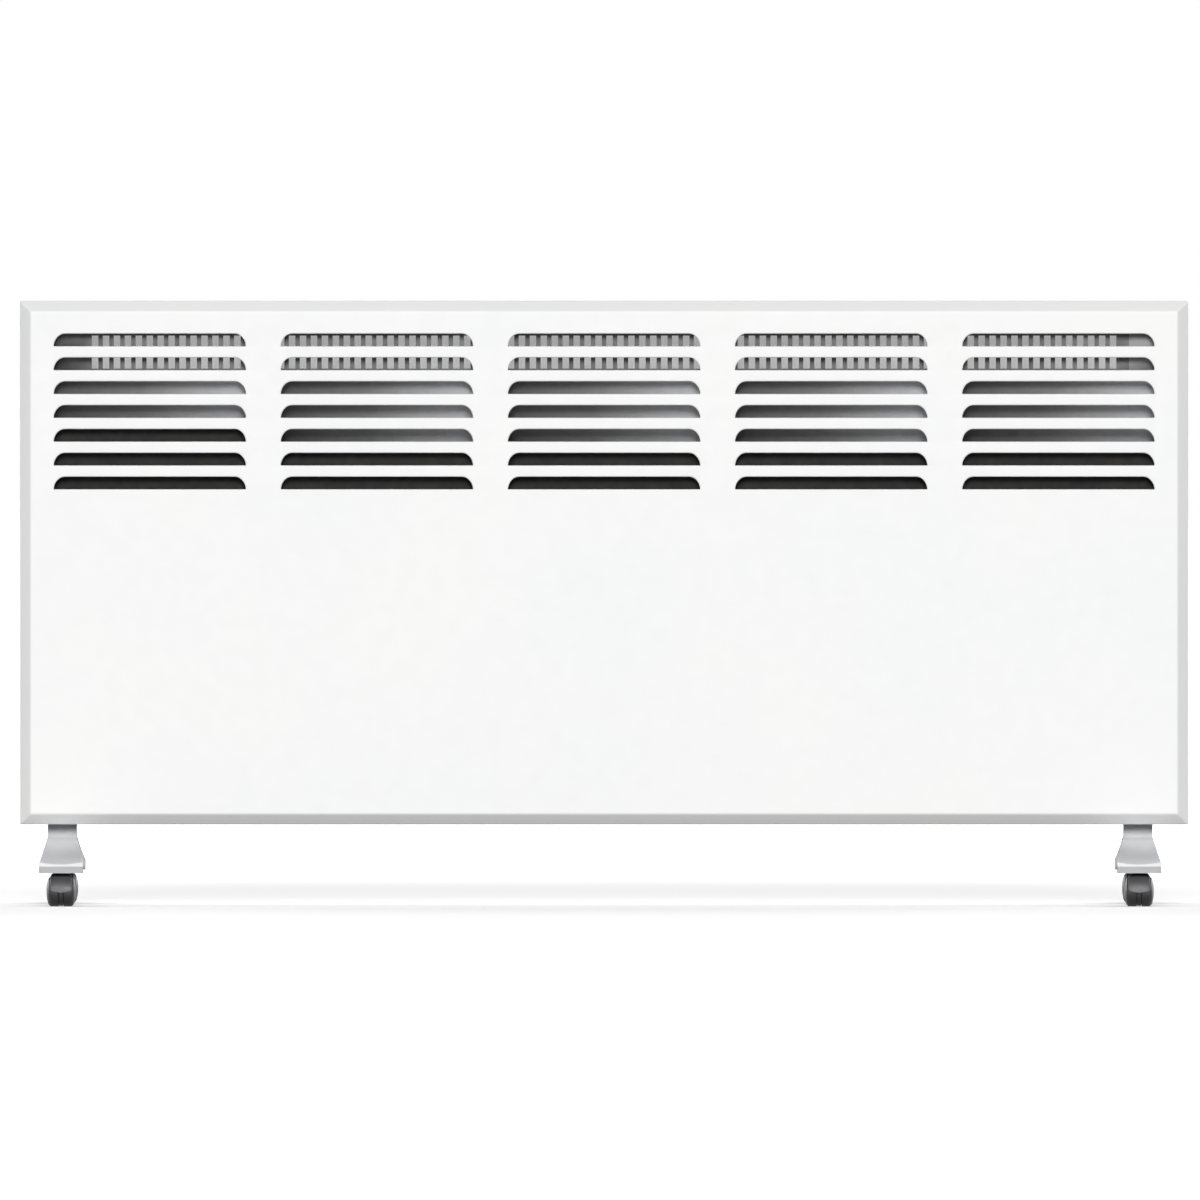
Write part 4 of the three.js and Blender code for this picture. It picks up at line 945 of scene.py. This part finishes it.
def writing(name, text, height, place, finish, body):
    """One character, thin and proud, written about the place that the matrix gives."""
    curve = bpy.data.curves.new(name, "FONT")
    curve.body = text
    curve.size = height / LETTER_SHARE
    curve.extrude = MARK_DEPTH
    curve.align_x = "CENTER"
    curve.align_y = "CENTER"
    spare = bpy.data.objects.new(name, curve)
    bpy.context.scene.collection.objects.link(spare)
    bpy.context.view_layer.update()
    mesh = bpy.data.meshes.new_from_object(spare)
    bpy.data.objects.remove(spare)
    bpy.data.curves.remove(curve)
    bm = bmesh.new()
    bm.from_mesh(mesh)
    bpy.data.meshes.remove(mesh)
    bmesh.ops.transform(bm, matrix=place @ OUTWARDS, verts=bm.verts)
    finished(name, bm, finish, body=body)


DIAL_RADIUS = 19.4 * MM
DIAL_STEP = math.radians(45)
DIGIT_HEIGHT = 4.2 * MM
DOT_RADIUS = 1.1 * MM
DOT_CHAMFER = 0.1 * MM


def dial_marks(centre):
    """A dot at the knob's rest, and the digits 1 to 6."""
    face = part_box("control_plate")[1].x
    for number in range(7):
        turn = DIAL_STEP * number
        way = Vector((0, math.sin(turn), math.cos(turn)))
        spot = Vector((face, centre.y, centre.z)) + way * DIAL_RADIUS
        if number:
            place = Matrix.Translation(spot)
            writing(f"dial_{number}", str(number), DIGIT_HEIGHT, place, PRINT, "heater_body")
            continue
        bm = bmesh.new()
        rim = [(MARK_DEPTH * 0.6, DOT_RADIUS), (MARK_DEPTH, DOT_RADIUS - DOT_CHAMFER)]
        spun(bm, [(-MARK_DEPTH, 0), *rim, (MARK_DEPTH, 0)], spot, steps=32)
        finished("dial_0", bm, PRINT, body="heater_body")


# The switch keys as the frame has them, and their marks
KEY_TILT = math.radians(8)
KEY_HALF = 9 * MM
KEY_HOLLOW = 1.1 * MM  # dip of a key's middle below its ends
KEY_FACE = 1.3 * MM  # pivot to the middle of the face
PIVOT_SINK = 0.6 * MM  # bezel's face to the pivot
KEY_MARK_RISE = 5.6 * MM
KEY_MARK_HEIGHT = 3.6 * MM


def rocker_marks():
    """O on the upper half of each key and I on the lower half."""
    slope = math.atan2(KEY_HOLLOW, KEY_HALF)
    for number in (1, 2):
        low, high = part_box(f"switch_body_{number}")
        pivot = Vector((high.x - PIVOT_SINK, (low.y + high.y) / 2, (low.z + high.z) / 2))
        level = Matrix.Translation(pivot) @ Matrix.Rotation(-KEY_TILT, 4, "Y")
        for mark, half in (("O", 1), ("I", -1)):
            out = KEY_FACE + KEY_HOLLOW * KEY_MARK_RISE / KEY_HALF
            spot = Matrix.Translation((out, 0, half * KEY_MARK_RISE))
            place = level @ spot @ Matrix.Rotation(half * slope, 4, "Y")
            writing(f"rocker_{number}_{mark}", mark, KEY_MARK_HEIGHT, place, MARKS, f"rocker_{number}")


LAMP_DOME = 1.75 * MM  # rise of the indicator's lens


def lens():
    low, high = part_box("indicator_lens")
    centre = (0, (low.y + high.y) / 2, (low.z + high.z) / 2)
    radius = (high.z - low.z) / 2
    bm = bmesh.new()
    spun(bm, [(low.x, 0), (low.x, radius), *ellipse(high.x, LAMP_DOME, radius, 0, 16)], centre, steps=48)
    finished("indicator_lens_moulding", bm, AMBER, ["indicator_lens"], sharp=60)


GLAND_BORE = 3.6 * MM
GLAND_REACH = 9 * MM  # wall's face to the end of the tail
BARREL_RADIUS = 7 * MM
BARREL_CHAMFER = 0.4 * MM
FLANGE_DEPTH = 2.5 * MM
FLANGE_ROUND = 0.8 * MM
TAIL_RADIUS = 6.9 * MM
TAIL_TAPER = 0.42 * MM  # from one rib to the next
TAIL_END_RADIUS = 5.2 * MM
TAIL_CHAMFER = 0.3 * MM
TAIL_RIBS = 3
RIB_PITCH = 2.1 * MM

# A rib's outline in millimetres: past its start, and in from its crown
RIB_RISE = [(-0.5, 1.1), (-0.35, 0.2)]
RIB_CROWN = [(0.3, 0), (1.2, 0.1), (1.35, 0.4), (1.45, 1.1)]


def gland():
    """A collar against the wall and a ribbed tail that grips the cord."""
    low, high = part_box("cord_gland")
    centre = (0, (low.y + high.y) / 2, (low.z + high.z) / 2)
    face = high.x - GLAND_REACH
    flange = (high.z - low.z) / 2
    profile = [(low.x, GLAND_BORE), (low.x, BARREL_RADIUS - BARREL_CHAMFER)]
    profile += [(low.x + BARREL_CHAMFER, BARREL_RADIUS), (face, BARREL_RADIUS), (face, flange)]
    corner = (face + FLANGE_DEPTH - FLANGE_ROUND, flange - FLANGE_ROUND)
    profile += arc(corner, FLANGE_ROUND, 90, 0, 5)
    for i in range(TAIL_RIBS):
        start = face + FLANGE_DEPTH + RIB_PITCH * i
        crown = TAIL_RADIUS - TAIL_TAPER * i
        outline = [*(RIB_RISE if i else [(0, 0)]), *RIB_CROWN]
        profile += [(start + along * MM, crown - inward * MM) for along, inward in outline]
    end = high.x - TAIL_CHAMFER
    profile += [(end, TAIL_END_RADIUS), (high.x, TAIL_END_RADIUS - TAIL_CHAMFER)]
    profile += [(high.x, GLAND_BORE + TAIL_CHAMFER), (end, GLAND_BORE), (low.x, GLAND_BORE)]
    bm = bmesh.new()
    spun(bm, profile, centre, steps=72)
    finished("cord_gland_moulding", bm, BLACK_PLASTIC, ["cord_gland"], sharp=40)


# ---- Camera, light and floor ----

VIEW_WIDTH = 914 * MM  # across the picture, at the panel's face
VIEW_CENTRE = Vector((-3.1 * MM, FRONT_Y, 232.6 * MM))
VIEW_RISE = math.radians(0.5)
LENS = 1700  # long enough that the rear feet stand right behind the front ones
SENSOR = 36


def camera():
    data = bpy.data.cameras.new("camera")
    data.lens = LENS
    data.sensor_width = SENSOR
    data.clip_start = 1
    data.clip_end = 500
    made = bpy.data.objects.new("camera", data)
    bpy.context.scene.collection.objects.link(made)
    back = Vector((0, -math.cos(VIEW_RISE), math.sin(VIEW_RISE)))
    made.location = VIEW_CENTRE + back * (VIEW_WIDTH * LENS / SENSOR)
    made.rotation_euler = (-back).to_track_quat("-Z", "Y").to_euler()
    bpy.context.scene.camera = made


def lamp(name, azimuth, elevation, strength, softness):
    """Soft light from far away. Azimuth 0 comes from the front, and 90 from the right."""
    data = bpy.data.lights.new(name, "SUN")
    data.energy = strength * math.pi
    data.angle = math.radians(softness)
    made = bpy.data.objects.new(name, data)
    bpy.context.scene.collection.objects.link(made)
    turn, rise = math.radians(azimuth), math.radians(elevation)
    way = Vector((math.sin(turn) * math.cos(rise), -math.cos(turn) * math.cos(rise), math.sin(rise)))
    made.rotation_euler = way.to_track_quat("Z", "Y").to_euler()


def seen_directly(tree):
    """1 for a ray from the camera or one that gloss or glass sends on, and 0 for light on a surface."""
    path = tree.nodes.new("ShaderNodeLightPath")
    total = None
    for name in ("Is Camera Ray", "Is Glossy Ray", "Is Transmission Ray"):
        if total is None:
            total = path.outputs[name]
            continue
        most = tree.nodes.new("ShaderNodeMath")
        most.operation = "MAXIMUM"
        tree.links.new(total, most.inputs[0])
        tree.links.new(path.outputs[name], most.inputs[1])
        total = most.outputs[0]
    return total


AMBIENT = 0.05


def world():
    made = bpy.data.worlds.new("studio")
    bpy.context.scene.world = made
    made.use_nodes = True
    tree = made.node_tree
    level = tree.nodes.new("ShaderNodeMapRange")
    tree.links.new(seen_directly(tree), level.inputs[0])
    level.inputs[3].default_value = AMBIENT
    level.inputs[4].default_value = 1
    background = tree.nodes["Background"]
    background.inputs["Color"].default_value = (1, 1, 1, 1)
    tree.links.new(level.outputs[0], background.inputs["Strength"])


FLOOR_REACH = 40
CONTACT_REACH = 0.05  # how far the shade of a close piece spreads
CONTACT_SHADE = 0.4  # glow that is left where a piece touches
CONTACT_FULL = 0.35  # open share of the sky at which that shade is full
FLOOR_NEAR = 0.7  # shadow shows fully up to here
FLOOR_FAR = 2.6  # pure white from here
FLOOR_LIFT = 0.5  # glow of the near floor
FLOOR_SHADE = 0.7  # share of light that the floor shows
FLOOR_BOUNCE = 0.12  # share of light that it sends back onto the heater


def floor():
    bm = bmesh.new()
    bmesh.ops.create_circle(bm, cap_ends=True, segments=64, radius=FLOOR_REACH)
    mesh = bpy.data.meshes.new("floor")
    bm.to_mesh(mesh)
    bm.free()
    made = bpy.data.objects.new("floor", mesh)
    bpy.context.scene.collection.objects.link(made)
    material = bpy.data.materials.new("floor")
    material.use_nodes = True
    tree = material.node_tree
    shader = tree.nodes["Principled BSDF"]
    shader.inputs["Roughness"].default_value = 1
    shader.inputs["Specular IOR Level"].default_value = 0
    shader.inputs["Emission Color"].default_value = (1, 1, 1, 1)
    place = tree.nodes.new("ShaderNodeTexCoord")
    far = tree.nodes.new("ShaderNodeVectorMath")
    far.operation = "LENGTH"
    tree.links.new(place.outputs["Object"], far.inputs[0])
    glow = tree.nodes.new("ShaderNodeMapRange")
    glow.interpolation_type = "SMOOTHSTEP"
    tree.links.new(far.outputs["Value"], glow.inputs[0])
    for i, value in enumerate((FLOOR_NEAR, FLOOR_FAR, FLOOR_LIFT, 1)):
        glow.inputs[i + 1].default_value = value
    seen = seen_directly(tree)
    shade = tree.nodes.new("ShaderNodeMapRange")
    tree.links.new(seen, shade.inputs[0])
    shade.inputs[3].default_value = FLOOR_BOUNCE
    shade.inputs[4].default_value = FLOOR_SHADE
    tree.links.new(shade.outputs[0], shader.inputs["Base Color"])
    close = tree.nodes.new("ShaderNodeAmbientOcclusion")
    close.samples = 12
    close.inputs["Distance"].default_value = CONTACT_REACH
    contact = tree.nodes.new("ShaderNodeMapRange")
    tree.links.new(close.outputs["AO"], contact.inputs[0])
    contact.inputs[1].default_value = CONTACT_FULL
    contact.inputs[3].default_value = CONTACT_SHADE
    shown = glow.outputs[0]
    for factor in (contact.outputs[0], seen):
        product = tree.nodes.new("ShaderNodeMath")
        product.operation = "MULTIPLY"
        tree.links.new(shown, product.inputs[0])
        tree.links.new(factor, product.inputs[1])
        shown = product.outputs[0]
    tree.links.new(shown, shader.inputs["Emission Strength"])
    mesh.materials.append(material)


def studio():
    bpy.context.scene.view_settings.view_transform = "Standard"
    lamp("key", azimuth=0, elevation=15, strength=0.895, softness=15)
    for name, azimuth in (("back_left", 225), ("back_right", 135)):
        lamp(name, azimuth, elevation=25, strength=0.55, softness=50)
    world()
    floor()
    camera()


dress_nodes()
front_panel()
for side in ("left", "right"):
    Foot(f"foot_{side}").build()
    for end in ("front", "rear"):
        castor(f"{end}_{side}")
dial_marks(knob())
rocker_marks()
lens()
gland()
studio()
